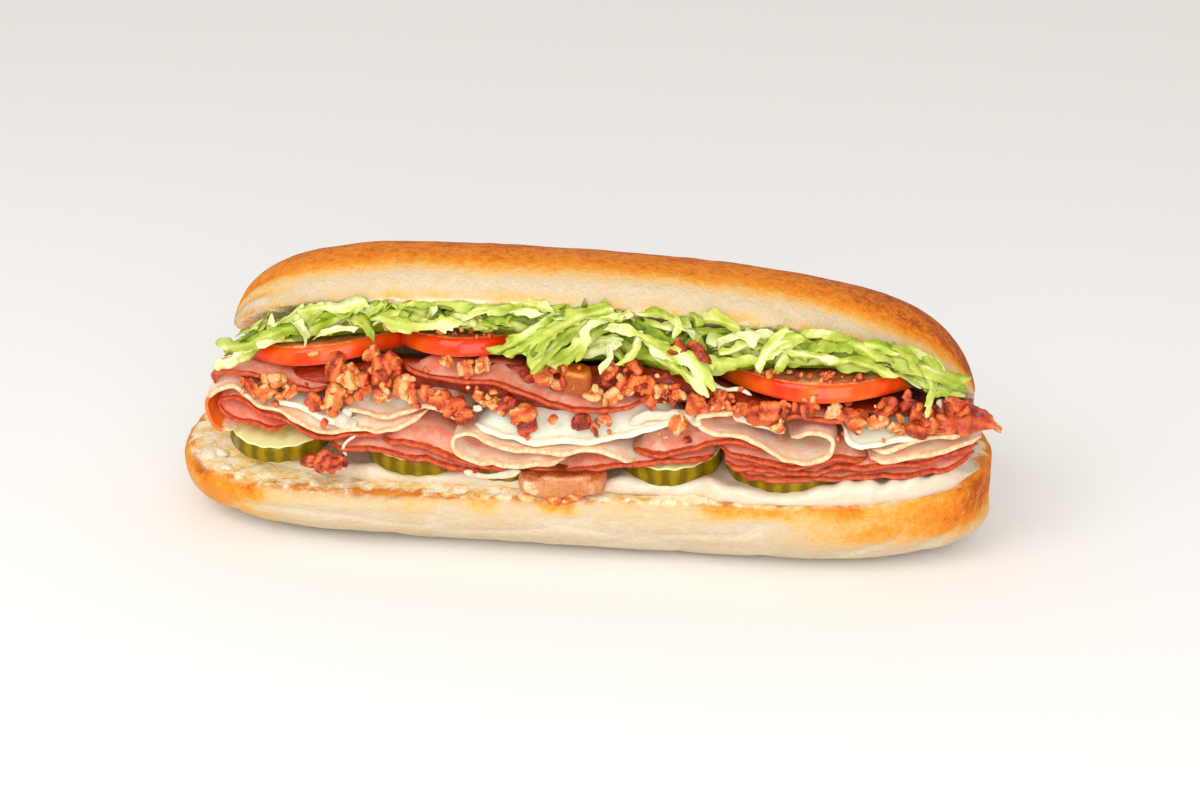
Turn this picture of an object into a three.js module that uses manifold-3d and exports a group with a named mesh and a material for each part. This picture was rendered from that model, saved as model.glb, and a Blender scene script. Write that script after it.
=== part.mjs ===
// A filled submarine sandwich, in millimetres, with X along the roll, Y from front to back and +Z up.
//
// The soft roll is cut almost through and opened like a jaw about the crust left along its back, so the
// two halves and that crust are one piece. The fillings stack up in the mouth and fan out from the same
// hinge line: from below, mayonnaise, pickle chips, folded ham and turkey, cheese, bacon, tomato slices
// and lettuce. Neighbouring pieces keep a small gap.

import * as THREE from "three";
import { mergeVertices } from "three/addons/utils/BufferGeometryUtils.js";
import Module from "manifold-3d";

const wasm = await Module();
wasm.setup();

// ---------------------------------------------------------------- driving dimensions

const GAP = 0.3; // between neighbouring pieces
const FIRM_TOLERANCE = 0.04; // how far the faces of a firm piece may move when its mesh is thinned out
const HEAP_TOLERANCE = 0.1; // the same for a heap or the sauce
const SAME_POINT = 1e-4; // points nearer than this are one
const LOFT_END = 0.9985; // how near to its very end a rounded loft is drawn

// The crust that joins the halves, along a line in X.
const HINGE = {
  y: 34,
  z: 33,
  reach: 0.9, // of the lid's half length
  inset: 1,
  halfWidth: 6,
  bite: 6, // how far it runs into each half
  thinPower: 4,
  sides: 10,
  stations: 14,
};

const BASE = {
  length: 275,
  halfDepth: 43,
  rimHeight: 29.3, // of the cut face, at mid depth and mid length
  rimRise: 4.7, // the right end is this much thicker, and the left end thinner
  cutSlope: 0.107, // radians, down towards the front
  planPower: 5.4,
  sectionPower: 2.6,
  flatFoot: 1.033, // over 1, so that the underside is cut off flat
  endLift: 15.3, // the underside curves up at the ends
  liftPower: 6,
  stations: 24,
  arcSteps: 12,
};

const LID = {
  length: 249.6,
  shift: 5.95, // of its middle, towards +X
  halfDepth: 41,
  height: 28.7,
  heightRise: 1.2,
  open: 0.636, // radians, from level
  openTwist: 0.049, // more at the right end
  overhang: 4, // how far the back edge passes the hinge line
  planPower: 3.4,
  heightPower: 7.8,
  arch: 8.6, // the middle rises over the ends
  archPower: 2.35,
  sideLift: 7.1, // the left end rises and the right end drops
  lipCurl: THREE.MathUtils.degToRad(3), // the crust goes this far round under the lip
  springDepth: 38, // from the hinge line to where the arch is at its full height
  stations: 24,
  arcSteps: 13,
  cutSteps: 4,
};

// The face that the fillings show at the front: its depth from mid roll, low down and up at the lip.
const FACE = { lowY: -38, lowZ: 28, leanPerHeight: 11 / 56, halfLength: 140, power: 6 };

// The line in X, deep in the mouth, that the fillings fan out from.
const FAN = { y: 34, z: 46 };

// The space for the fillings, from past the front of the roll to just short of the hinge line.
const MOUTH = {
  halfLength: 152,
  frontY: -66,
  backY: 24,
  lidNear: 15,
  lidFar: 112,
  stations: 18,
  lidSteps: 6,
};

const PICKLE = {
  waveLength: 6,
  waveHeight: 0.6,
  stepsPerWave: 4,
  plainSteps: 16, // of a grown chip, which is as thick as the waves reach
  clearance: 1.8, // a grown chip's radius grows by this much more
  endStop: 0.985,
};
const PICKLES = [
  { x: -98.5, radius: 17.5, thickness: 5.6, front: -35, lift: 6.6, pitch: 0.1, roll: 0.01 },
  { x: -51, radius: 18, thickness: 5.8, front: -37.5, lift: 4.4, pitch: 0, roll: -0.04 },
  { x: -21, radius: 12, thickness: 4.8, front: -37, lift: 2.9, pitch: 0, roll: 0 },
  { x: 33.2, radius: 16, thickness: 6.2, front: -37.5, lift: 3, pitch: 0, roll: 0.05 },
  { x: 72, radius: 21.6, thickness: 5.8, front: -38.5, lift: 1, pitch: 0, roll: 0 },
];

const TOMATO = {
  thickness: 6.4,
  droop: 2.4, // the front edge sags
  droopDepth: 24,
  backReach: 17, // where the slice ends, out from the fan line
  backThinning: 0.4, // it is pressed thinner there
  skinBand: 0.45, // of the thickness
  skinShoulder: 0.55,
  skinInset: 1.6,
  skinShare: 0.3, // of the chord, where that is less than the inset
  endStop: 0.98,
  steps: 14,
};
const TOMATOES = [
  { x: -84, z: 67, radius: 30, rise: 0.15, out: 1.5 },
  { x: -36, z: 72.6, radius: 23.5, rise: 0.03, out: 0.5 },
  { x: 80.5, z: 64, radius: 36, rise: 0.01, out: 3 },
];

// Thin slices: the front edge of each as points [x, z] on the front face, left to right along the fold.
const SLICE = { backScale: 0.34, backGrowth: 0.01, pointsPerSpan: 2 };
const HAM = { thickness: 1.5 };
const TURKEY = { thickness: 1.9 };
const CHEESE = { thickness: 2.2 };

const HAM_EDGES = {
  ham_left_fold: { out: 0, edge: [[-58, 41.4], [-70, 40.7], [-82, 38.7], [-92, 43.4], [-103, 45.6],
    [-111, 49.4], [-117, 46.4], [-114.5, 42], [-104, 40.8], [-95, 40.4]] },
  ham_left_top: { out: 0.6, edge: [[-60.5, 38.9], [-51, 39.1], [-42, 37.3], [-34, 34.6], [-27, 33.1],
    [-17, 32.5]] },
  ham_left_low: { out: 1, edge: [[-78, 36.4], [-68, 36.6], [-58, 36], [-46, 34.8], [-36, 32.6], [-27, 31]] },
  ham_centre_top: { out: -0.5, edge: [[22, 38.8], [34, 40.2], [42, 42.4], [49, 45.2], [57, 45.4],
    [64, 42.4]] },
  ham_centre_low: { out: 0, edge: [[-14, 33.2], [-1, 33.4], [11, 34.4], [23, 36.4], [36, 38], [48, 39.4]] },
  ham_right_top: { out: 0, edge: [[50, 42.4], [57, 40.6], [65, 39.3], [76, 38.7], [86, 40.7], [97, 41]] },
  ham_right_middle: { out: 0.5, edge: [[52, 38.2], [62, 37.2], [76, 36.7], [90, 38.5], [104, 39.4],
    [116, 40.6], [126, 42], [132, 42.8]] },
  ham_right_low: { out: 1.2, edge: [[56, 36], [66, 35.4], [76, 34.8], [90, 36.3], [104, 36.6], [116, 37.4],
    [126, 38.6], [131, 39.8]] },
  ham_upper_left: { out: 1, edge: [[-119.5, 52], [-119, 56], [-112, 58], [-103, 57.6], [-95, 56.4],
    [-88, 54.8], [-79, 55.6]] },
  ham_upper_centre: { out: 2, edge: [[-54, 64.6], [-46, 61.8], [-33, 60.8], [-21, 60.2], [-12, 57.2],
    [-1, 54.5], [10, 53.2], [18, 54.3], [25, 57.4]] },
  ham_upper_right: { out: 1, edge: [[68, 53], [73, 54.4], [79, 54.8], [86, 53.8], [93, 54.4]] },
  ham_upper_end: { out: 1, edge: [[111, 50.4], [118, 50.6], [124, 50.2], [129.5, 49]] },
};

const TURKEY_EDGES = {
  turkey_left: { out: 1, edge: [[-113, 37.2], [-119.6, 40], [-121, 46.5], [-112, 52.8], [-103, 48.4],
    [-95, 46.2], [-88, 44.8], [-81, 41.2], [-70, 43.2], [-62, 42.8], [-54, 44.6], [-47, 48.4]] },
  turkey_left_flap: { out: -1, edge: [[-76, 48.2], [-66, 47.8], [-57, 47.2], [-46, 51.6], [-40, 50],
    [-35, 46.2]] },
  turkey_centre: { out: 2, edge: [[23, 36.6], [18, 39.4], [8, 40.9], [-6, 39.5], [-17, 39.8], [-25, 41.6],
    [-31, 43.6], [-35.6, 42.2], [-35.2, 38.4], [-29, 35.8], [-18, 35.4], [-8, 35.8], [0, 36.6]] },
  turkey_right: { out: 2, edge: [[56, 54.8], [48, 55.2], [43.2, 53.6], [43.6, 50.4], [49, 48.6], [57, 48],
    [64, 45.2], [72, 41.6], [80, 41.3], [85.6, 43.8], [86, 48], [80.5, 50], [73, 47.6]] },
  turkey_end_top: { out: 1, edge: [[99, 44.4], [107, 45.8], [114, 47.6], [121, 48], [128.5, 47.7]] },
  turkey_end_low: { out: 1.5, edge: [[98.5, 41.9], [109, 42.4], [119, 43.9], [128, 45.1], [133, 44.9]] },
};

const CHEESE_EDGES = {
  cheese_left: { out: 0, edge: [[-99, 49.8], [-91, 49], [-84, 46.6], [-77, 44.8], [-70, 45.7]] },
  cheese_centre: { out: 1, edge: [[-30, 46.4], [-20, 44], [-6, 42.7], [8, 43.7], [20, 45.8], [30, 49.2],
    [37, 51.8]] },
  cheese_right: { out: 1, edge: [[89.6, 51], [92, 47.2], [99, 46.8], [107, 48.4], [116, 49.8]] },
};

// Heaps of small things: points [x, z] along their lower and upper limits at the front.
const HEAP = { backScale: 0.4, backGrowth: 0.02, frontSteps: 4, inset: 4.5, waver: 0.5 };
const BACON_BITS = {
  low: [[-110, 55], [-98, 52.4], [-80, 49], [-62, 51.4], [-40, 54], [-28, 48.6], [-4, 45.2],
    [20, 49.6], [34, 54.4], [46, 56.6], [62, 55], [84, 53.4], [106, 51.6], [120, 50.6], [131, 48]],
  high: [[-110, 57.5], [-98, 59.6], [-80, 62.6], [-60, 66.2], [-40, 66.8], [-26, 67.4], [-10, 66.6],
    [20, 66], [34, 61.6], [46, 60.6], [62, 59], [84, 58.8], [106, 59], [120, 56], [131, 51]],
  bulge: 1.5,
  lumps: 1.4,
  stations: 24,
};
const LETTUCE = {
  low: [[-118, 60], [-106, 66.6], [-88, 71.4], [-70, 74.4], [-52, 76.4], [-30, 77], [-14, 74], [-4, 66],
    [10, 68.5], [22, 67], [40, 63], [50, 65], [66, 67.4], [84, 68], [102, 66.4], [114, 62], [127, 58]],
  high: [[-118, 66], [-104, 80], [-88, 87], [-70, 91], [-52, 93], [-30, 94], [-14, 94], [-4, 94],
    [10, 94], [22, 93], [40, 92], [50, 91], [66, 89], [84, 85.5], [102, 80], [114, 75], [127, 64]],
  bulge: 3,
  lumps: 2,
  stations: 24,
};

// Mayonnaise on the lower cut face, with heaps of it where it is squeezed out: [x, height, half width].
const MAYONNAISE = {
  halfLength: 131,
  thickness: 1.7,
  frontInset: 3.2,
  rimOut: 0.4, // the edge bulges out at half height
  rimRoll: 1.6, // and is at its full height this far in
  heapDepth: 7, // the heaps run down to the layer over this depth
  heapLeft: 0.4, // of their height there
  backY: 12,
  wobble: 0.9,
  uneven: 0.3,
  under: 1, // it is drawn this far below the mouth's floor, which then cuts it flat
  endStop: 0.998,
  heaps: [[-122, 2.4, 6], [-66, 1, 6], [-4, 0.8, 10], [48, 1.2, 5], [101, 3.4, 8], [118, 2, 7]],
  stations: 28,
};

// Bacon pieces as large as a berry: centre, half sizes and turns about X, Y and Z in radians.
const BACON_PIECES = {
  bacon_slab: { at: [-0.5, -36.6, 29.6], half: [14, 6.2, 4], turn: [0.12, -0.03, 0.04], squareness: 0.3 },
  bacon_lump_left: { at: [-79, -37.5, 31.9], half: [7.4, 3.6, 3.2], turn: [0.1, -0.1, 0.1], squareness: 0.7 },
  bacon_chunk: { at: [3.4, -33.2, 64], half: [5, 4, 4.3], turn: [0.2, 0.12, 0.1], squareness: 0.35 },
  bacon_lump_top: { at: [40, -31.4, 74.6], half: [6.6, 3.2, 3], turn: [0, 0.08, 0], squareness: 0.7 },
  bacon_strip_end: { at: [130, -18, 48.6], half: [10, 4.6, 1.5], turn: [0.2, 0.36, 0.7], squareness: 0.45 },
};
const CRAG = { detail: 1, dent: 0.07, across: 7, along: 2, upright: 3, cornerLimit: 1.25 };

const finish = (color, roughness) => new THREE.MeshStandardMaterial({ color, roughness, metalness: 0 });
const FINISH = {
  crust: finish(0xd9a05a, 0.62),
  mayonnaise: finish(0xf7efdc, 0.3),
  pickle: finish(0x8a9a3c, 0.35),
  ham: finish(0xd9776b, 0.42),
  turkey: finish(0xecc9ae, 0.45),
  cheese: finish(0xf6ecd2, 0.38),
  bacon: finish(0xa4512c, 0.4),
  tomato: finish(0xdd3a1c, 0.25),
  lettuce: finish(0xb5cf6b, 0.45),
};

// ---------------------------------------------------------------- small helpers

/** Half width, from 1 at the middle to 0 at the ends, of a superellipse with the given power. */
const plan = (s, power) => Math.sqrt(Math.max(0, 1 - Math.abs(s) ** power));

/** A power that keeps the sign of its base. */
const signedPower = (value, power) => Math.sign(value) * Math.abs(value) ** power;

/** Evenly spaced values from low to high, both included. */
const spread = (low, high, steps) =>
  Array.from({ length: steps + 1 }, (_, i) => THREE.MathUtils.lerp(low, high, i / steps));

/** Stations from -1 to 1 that crowd towards the ends, and stop just short of a point. */
const endStations = (steps) => spread(-1, 1, steps).map((u) => LOFT_END * Math.sin((u * Math.PI) / 2));

/** Height at x on a smooth line through the points [x, z]. */
function lineHeight(points, x) {
  const last = points.length - 1;
  const i = THREE.MathUtils.clamp(points.findIndex((p) => p[0] > x) - 1, 0, last - 1);
  const from = x >= points[last][0] ? last - 1 : i;
  const [x0, z0] = points[from];
  const [x1, z1] = points[from + 1];
  return THREE.MathUtils.lerp(z0, z1, THREE.MathUtils.smoothstep(x, x0, x1));
}

/** Uneven ripple between -1 and 1: three sines whose lengths share no common period. */
const ripple = (u, v) =>
  (Math.sin(u * 0.61 + v * 2.3) + Math.sin(u * 0.27 - v * 3.1 + 1.7) + Math.sin(u * 0.131 + v * 1.3 + 4)) / 3;

/** A closed skin over rings that all have the same number of points, capped at both ends. */
function closedLoft(rings) {
  const sides = rings[0].length;
  const points = rings.flat();
  const triangles = [];
  rings.slice(1).forEach((_, i) => {
    for (let j = 0; j < sides; j += 1) {
      const a = i * sides + j;
      const b = i * sides + ((j + 1) % sides);
      triangles.push(a, b, b + sides, a, b + sides, a + sides);
    }
  });
  const capEnd = (start, reversed) => {
    const middle = new THREE.Vector3();
    for (let j = 0; j < sides; j += 1) middle.addScaledVector(points[start + j], 1 / sides);
    const centre = points.push(middle) - 1;
    for (let j = 0; j < sides; j += 1) {
      const edge = [start + j, start + ((j + 1) % sides)];
      triangles.push(centre, ...(reversed ? edge.reverse() : edge));
    }
  };
  capEnd((rings.length - 1) * sides, false);
  capEnd(0, true);
  const geometry = new THREE.BufferGeometry().setFromPoints(points);
  geometry.setIndex(triangles);
  return geometry;
}

/** A manifold-3d solid from a closed geometry, with its faces turned outwards. */
function solidOf(geometry) {
  const plain = geometry.clone();
  plain.deleteAttribute("normal");
  plain.deleteAttribute("uv");
  const merged = mergeVertices(plain, SAME_POINT);
  const make = (triVerts) =>
    new wasm.Manifold(
      new wasm.Mesh({ numProp: 3, vertProperties: merged.attributes.position.array, triVerts }),
    );
  const triangles = new Uint32Array(merged.index.array);
  const solid = make(triangles);
  return solid.volume() > 0 ? solid : make(triangles.reverse());
}

/** The largest body of a solid, with what is smaller than the tolerance smoothed away. */
const mainBody = (solid, tolerance) =>
  solid
    .asOriginal()
    .simplify(tolerance)
    .decompose()
    .reduce((best, body) => (body.volume() > best.volume() ? body : best));

/** A named mesh of a solid. */
function meshOf(name, solid, material) {
  const { numProp, vertProperties, triVerts } = solid.getMesh();
  const positions = new Float32Array((vertProperties.length / numProp) * 3);
  for (let i = 0; i < positions.length / 3; i += 1) {
    positions.set(vertProperties.subarray(i * numProp, i * numProp + 3), i * 3);
  }
  const geometry = new THREE.BufferGeometry();
  geometry.setAttribute("position", new THREE.BufferAttribute(positions, 3));
  geometry.setIndex(new THREE.BufferAttribute(triVerts, 1));
  geometry.computeVertexNormals();
  const mesh = new THREE.Mesh(geometry, material);
  mesh.name = name;
  return mesh;
}

// ---------------------------------------------------------------- the roll

/** Height of the lower cut face. */
const baseCut = (x, y) =>
  BASE.rimHeight + (BASE.rimRise * 2 * x) / BASE.length + Math.tan(BASE.cutSlope) * y;

/** The lower half: a superellipse in plan, a flat-footed round section below the cut face. */
function baseHalf(grow) {
  const ring = (s) =>
    spread(Math.PI, 2 * Math.PI, BASE.arcSteps).map((turn) => {
      const depth = (BASE.halfDepth + grow) * plan(s, BASE.planPower);
      const down = Math.abs(Math.sin(turn)) ** (2 / BASE.sectionPower);
      const y = depth * signedPower(Math.cos(turn), 2 / BASE.sectionPower);
      const x = (s * BASE.length) / 2;
      const lift = BASE.endLift * (1 - plan(s, BASE.liftPower)) * down;
      const z = baseCut(x, y) * (1 - BASE.flatFoot * down) + lift;
      return new THREE.Vector3(x, y, Math.max(0, z) + grow);
    });
  return solidOf(closedLoft(endStations(BASE.stations).map(ring)));
}

/** Where a point of the closed lid goes when the lid is opened: across is 0 at the hinge line. */
function openLid(s, across, height) {
  const angle = LID.open + LID.openTwist * s;
  const spring = THREE.MathUtils.smoothstep(-across, 0, LID.springDepth);
  const rise = LID.arch * (1 - Math.abs(s) ** LID.archPower) - LID.sideLift * s;
  return new THREE.Vector3(
    (s * LID.length) / 2 + LID.shift,
    HINGE.y + across * Math.cos(angle) + height * Math.sin(angle),
    HINGE.z - across * Math.sin(angle) + height * Math.cos(angle) + rise * spring,
  );
}

/** How far the lid's cut face lies below its mid plane. */
const lidCutDrop = (s) =>
  Math.sin(LID.lipCurl) * (LID.height + LID.heightRise * s) * plan(s, LID.heightPower);

/** The upper half: a dome on a superellipse, whose crust curls in under the lip. */
function lidHalf(grow) {
  const ring = (s) => {
    const width = (LID.halfDepth + grow) * plan(s, LID.planPower);
    const at = (cosine, height) => openLid(s, -width * cosine - LID.halfDepth + LID.overhang, height);
    const dome = spread(-LID.lipCurl, Math.PI + LID.lipCurl, LID.arcSteps).map((turn) => {
      const height = (LID.height + LID.heightRise * s) * plan(s, LID.heightPower) * Math.sin(turn);
      return at(Math.cos(turn), height < 0 ? height - grow : height);
    });
    const lip = Math.cos(LID.lipCurl);
    const cut = spread(-lip, lip, LID.cutSteps).slice(1, -1);
    return [...dome, ...cut.map((cosine) => at(cosine, -lidCutDrop(s) - grow))];
  };
  return solidOf(closedLoft(endStations(LID.stations).map(ring)));
}

/** The uncut crust along the back: an ellipse that follows the lid's back edge and thins out at both ends. */
function hingeCrust(grow) {
  const ring = (u) => {
    const s = u * HINGE.reach;
    const across = LID.halfDepth * (plan(s, LID.planPower) - 1) + LID.overhang;
    const edge = openLid(s, across, 0);
    const foot = baseCut(edge.x, edge.y);
    const size = plan(u, HINGE.thinPower);
    const middle = new THREE.Vector3(edge.x, edge.y - HINGE.inset, (edge.z + foot) / 2);
    const halfHeight = ((edge.z - foot) / 2 + HINGE.bite) * size + grow;
    return spread(0, 2 * Math.PI, HINGE.sides).slice(1).map((turn) =>
      middle.clone().add(
        new THREE.Vector3(0, (HINGE.halfWidth * size + grow) * Math.cos(turn), halfHeight * Math.sin(turn)),
      ),
    );
  };
  return solidOf(closedLoft(endStations(HINGE.stations).map(ring)));
}

/** The space between the two cut faces, a gap clear of both, open at the front and both ends. */
function mouthSpace() {
  const ring = (x) => {
    const s = THREE.MathUtils.clamp(((x - LID.shift) * 2) / LID.length, -1, 1);
    const lower = [MOUTH.backY, MOUTH.frontY].map((y) => new THREE.Vector3(x, y, baseCut(x, y) + GAP));
    const upper = spread(MOUTH.lidFar, MOUTH.lidNear, MOUTH.lidSteps).map((reach) => {
      const point = openLid(s, -reach, -lidCutDrop(s) - GAP);
      return new THREE.Vector3(x, point.y, point.z);
    });
    return [...lower, ...upper];
  };
  return solidOf(closedLoft(spread(-MOUTH.halfLength, MOUTH.halfLength, MOUTH.stations).map(ring)));
}

// ---------------------------------------------------------------- fan coordinates of the fillings

/** Depth of the front face of the fillings. */
function faceY(x, z) {
  const y = FACE.lowY + (z - FACE.lowZ) * FACE.leanPerHeight;
  return y * plan(Math.min(1, Math.abs(x) / FACE.halfLength), FACE.power);
}

/** The point on the fan line through (x, z) on the front face, out past the face or scaled back from it. */
function fanPoint(x, z, out = 0, scale = 1) {
  const dy = faceY(x, z) - FAN.y;
  const dz = z - FAN.z;
  const reach = Math.hypot(dy, dz);
  const factor = ((reach + out) / reach) * scale;
  return new THREE.Vector3(x, FAN.y + dy * factor, FAN.z + dz * factor);
}

/** A thin slice: its folded front edge, drawn back along the fan lines. */
function slice({ edge, out }, { thickness }, grow) {
  const points = edge.map(([x, z]) => new THREE.Vector3(x, z, 0));
  const curve = new THREE.CatmullRomCurve3(points, false, "centripetal");
  const steps = Math.round((edge.length - 1) * SLICE.pointsPerSpan);
  const half = thickness / 2 + grow;
  const rings = spread(0, 1, steps).map((u) => {
    const tangent = curve.getTangentAt(u);
    const past = u === 0 ? -grow : u === 1 ? grow : 0;
    const at = curve.getPointAt(u).addScaledVector(tangent, past);
    const corner = (side, depth) => {
      const [x, z] = [at.x - tangent.y * half * side, at.y + tangent.x * half * side];
      const backScale = SLICE.backScale - SLICE.backGrowth * grow;
      return depth ? fanPoint(x, z, 0, backScale) : fanPoint(x, z, out + grow);
    };
    return [corner(-1, 0), corner(1, 0), corner(1, 1), corner(-1, 1)];
  });
  return solidOf(closedLoft(rings));
}

/** A crinkle-cut chip on the mayonnaise: a disc whose two faces share one wave along X. */
function pickle({ x: centre, radius, thickness, front, lift, pitch, roll }, grow) {
  const r = radius + grow * PICKLE.clearance;
  const waveHeight = grow > 0 ? 0 : PICKLE.waveHeight;
  const half = thickness / 2 + (grow > 0 ? grow + PICKLE.waveHeight : 0);
  const steps = grow > 0 ? PICKLE.plainSteps : Math.ceil((2 * r * PICKLE.stepsPerWave) / PICKLE.waveLength);
  const rings = spread(-PICKLE.endStop, PICKLE.endStop, steps).map((u) => {
    const dx = u * r;
    const chord = Math.sqrt(r * r - dx * dx);
    const wave = waveHeight * Math.cos((2 * Math.PI * dx) / PICKLE.waveLength);
    const corner = (side, level) => {
      const y = front + radius + side * chord;
      const middle = baseCut(centre, y) + lift + thickness / 2 + pitch * (y - front);
      return new THREE.Vector3(centre + dx, y, middle + level * half + wave + roll * dx);
    };
    return [corner(-1, -1), corner(-1, 1), corner(1, 1), corner(1, -1)];
  });
  return solidOf(closedLoft(rings));
}

/** A tomato slice: a disc in the fan whose front sags, with a rounded skin. */
function tomato({ x: centre, z, radius, rise, out }, grow) {
  const r = radius + grow;
  const half = TOMATO.thickness / 2 + grow;
  const reach = fanPoint(centre, z).distanceTo(new THREE.Vector3(centre, FAN.y, FAN.z)) + out;
  const { skinShoulder: shoulder, skinBand: band } = TOMATO;
  const profile = [[shoulder, -1], [1, -band], [1, band], [shoulder, 1], [-1, 1], [-1, -1]];
  const rings = spread(-TOMATO.endStop, TOMATO.endStop, TOMATO.steps).map((u) => {
    const dx = r * Math.sin((u * Math.PI) / 2);
    const chord = Math.sqrt(r * r - dx * dx);
    const root = new THREE.Vector3(centre + dx, FAN.y, FAN.z);
    const along = fanPoint(centre + dx, z + rise * dx).sub(root).normalize();
    const up = new THREE.Vector3(0, along.z, -along.y);
    return profile.map(([end, level]) => {
      const inset = Math.min(TOMATO.skinInset, chord * TOMATO.skinShare);
      const skin = end === shoulder ? chord - inset : end * chord;
      const distance = Math.max(TOMATO.backReach, reach - radius + skin);
      const thin = half * THREE.MathUtils.lerp(TOMATO.backThinning, 1, distance / reach);
      const sag = TOMATO.droop * Math.max(0, 1 - (reach - distance) / TOMATO.droopDepth) ** 2;
      return root
        .clone()
        .addScaledVector(along, distance)
        .addScaledVector(up, level * thin + TOMATO.droop / 2 - sag);
    });
  });
  return solidOf(closedLoft(rings));
}

/** A heap between two lines on the front face, drawn back along the fan lines, with a lumpy front. */
function heap({ low, high, bulge, lumps, stations }, grow) {
  const more = grow / HEAP.backScale; // the fan draws this in to the growth asked for at the back
  const rings = spread(low[0][0] - grow, low.at(-1)[0] + grow, stations).map((x) => {
    const bottom = lineHeight(low, x) + HEAP.waver * ripple(x, 5) - more;
    const top = lineHeight(high, x) + more;
    const front = spread(0, 1, HEAP.frontSteps).map((v) => {
      const out = (bulge + HEAP.inset) * Math.sin(Math.PI * v) - HEAP.inset + lumps * ripple(x, 3 * v);
      return fanPoint(x, THREE.MathUtils.lerp(bottom, top, v), out + grow);
    });
    const back = [top, bottom].map((z) => fanPoint(x, z, 0, HEAP.backScale - HEAP.backGrowth * grow));
    return [...front, ...back];
  });
  return solidOf(closedLoft(rings));
}

/** A layer on the lower cut face with a wandering front edge and squeezed-out heaps. */
function mayonnaise() {
  const { thickness, endStop, halfLength, frontInset, wobble, rimOut, rimRoll, heapDepth } = MAYONNAISE;
  const rings = spread(-endStop, endStop, MAYONNAISE.stations).map((s) => {
    const x = s * halfLength;
    const width = plan(s, BASE.planPower);
    const frontY = -(BASE.halfDepth - frontInset + wobble * ripple(x, 1)) * width;
    const heaped = MAYONNAISE.heaps.reduce(
      (sum, [at, height, spreadX]) => sum + height * Math.exp(-(((x - at) / spreadX) ** 2)),
      0,
    );
    const height = (thickness * (1 + width)) / 2 + heaped + MAYONNAISE.uneven * ripple(x, 2);
    const at = (y, level) => new THREE.Vector3(x, y, baseCut(x, y) + GAP + level);
    const backY = MAYONNAISE.backY * width;
    return [
      at(frontY, -MAYONNAISE.under),
      at(frontY - rimOut, height / 2),
      at(frontY + rimRoll, height),
      at(frontY + heapDepth, thickness + MAYONNAISE.heapLeft * heaped),
      at(backY, thickness),
      at(backY, -MAYONNAISE.under),
    ];
  });
  return solidOf(closedLoft(rings));
}

/** A craggy piece of bacon: a rounded block with dents, turned and put in its place. */
function baconPiece({ at, half, turn, squareness }, grow) {
  const ball = new THREE.IcosahedronGeometry(1, CRAG.detail);
  const position = ball.attributes.position;
  const point = new THREE.Vector3();
  for (let i = 0; i < position.count; i += 1) {
    point.fromBufferAttribute(position, i);
    const dent = ripple(point.x * CRAG.across + at[0], point.y * CRAG.along + point.z * CRAG.upright);
    point.set(...point.toArray().map((v) => signedPower(v, squareness)));
    const size = (1 + CRAG.dent * dent) / Math.max(1, point.length() / CRAG.cornerLimit);
    point.multiplyScalar(size).multiply(new THREE.Vector3(...half.map((h) => h + grow)));
    position.setXYZ(i, ...point);
  }
  ball.applyMatrix4(new THREE.Matrix4().makeRotationFromEuler(new THREE.Euler(...turn)));
  ball.translate(...at);
  return solidOf(ball);
}

// ---------------------------------------------------------------- putting it together

// Each entry: the node's name, its finish, and its solid as a function of how much it is grown.
const firmPieces = [
  ...PICKLES.map((chip, i) => [`pickle_${i + 1}`, FINISH.pickle, (grow) => pickle(chip, grow)]),
  ...TOMATOES.map((disc, i) => [`tomato_${i + 1}`, FINISH.tomato, (grow) => tomato(disc, grow)]),
  ...Object.entries(BACON_PIECES).map(([name, piece]) => [
    name,
    FINISH.bacon,
    (grow) => baconPiece(piece, grow),
  ]),
  ...[
    [TURKEY_EDGES, TURKEY, FINISH.turkey],
    [HAM_EDGES, HAM, FINISH.ham],
    [CHEESE_EDGES, CHEESE, FINISH.cheese],
  ].flatMap(([edges, kind, material]) =>
    Object.entries(edges).map(([name, edge]) => [name, material, (grow) => slice(edge, kind, grow)]),
  ),
];
const loosePieces = [
  ["bacon_bits", FINISH.bacon, (grow) => heap(BACON_BITS, grow)],
  ["lettuce", FINISH.lettuce, (grow) => heap(LETTUCE, grow)],
  ["mayonnaise", FINISH.mayonnaise, mayonnaise],
];

const rollSolid = (grow) => baseHalf(grow).add(lidHalf(grow)).add(hingeCrust(grow));
const mouth = mouthSpace();
const meshes = [meshOf("bread_roll", mainBody(rollSolid(0), FIRM_TOLERANCE), FINISH.crust)];

// Every filling is kept inside the mouth and gives way, by the gap, to the pieces placed before it.
let taken = rollSolid(GAP);
for (const [name, material, make] of [...firmPieces, ...loosePieces]) {
  const tolerance = loosePieces.some((piece) => piece[0] === name) ? HEAP_TOLERANCE : FIRM_TOLERANCE;
  const body = mainBody(make(0).intersect(mouth).subtract(taken), tolerance);
  meshes.push(meshOf(name, body, material));
  taken = taken.add(make(GAP));
}

const sandwich = new THREE.Group();
sandwich.name = "submarine_sandwich";
sandwich.add(...meshes);

// The origin is the middle of the space that the sandwich takes up, on the surface that it rests on.
const extent = new THREE.Box3().setFromObject(sandwich, true);
const middle = extent.getCenter(new THREE.Vector3());
sandwich.position.set(-middle.x, -middle.y, -extent.min.z);

export default sandwich;
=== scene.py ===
"""The finished look of a filled submarine sandwich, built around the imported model.

Sizes are in millimetres in the roll's own frame: X along the roll, Y from the open front to the back,
+Z up, with X = 0 at mid roll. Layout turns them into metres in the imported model's frame.
"""

import itertools
import logging
import math
from dataclasses import dataclass, field
from enum import Enum

import bmesh
import bpy
import numpy as np
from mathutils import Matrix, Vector
from mathutils.bvhtree import BVHTree


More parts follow.
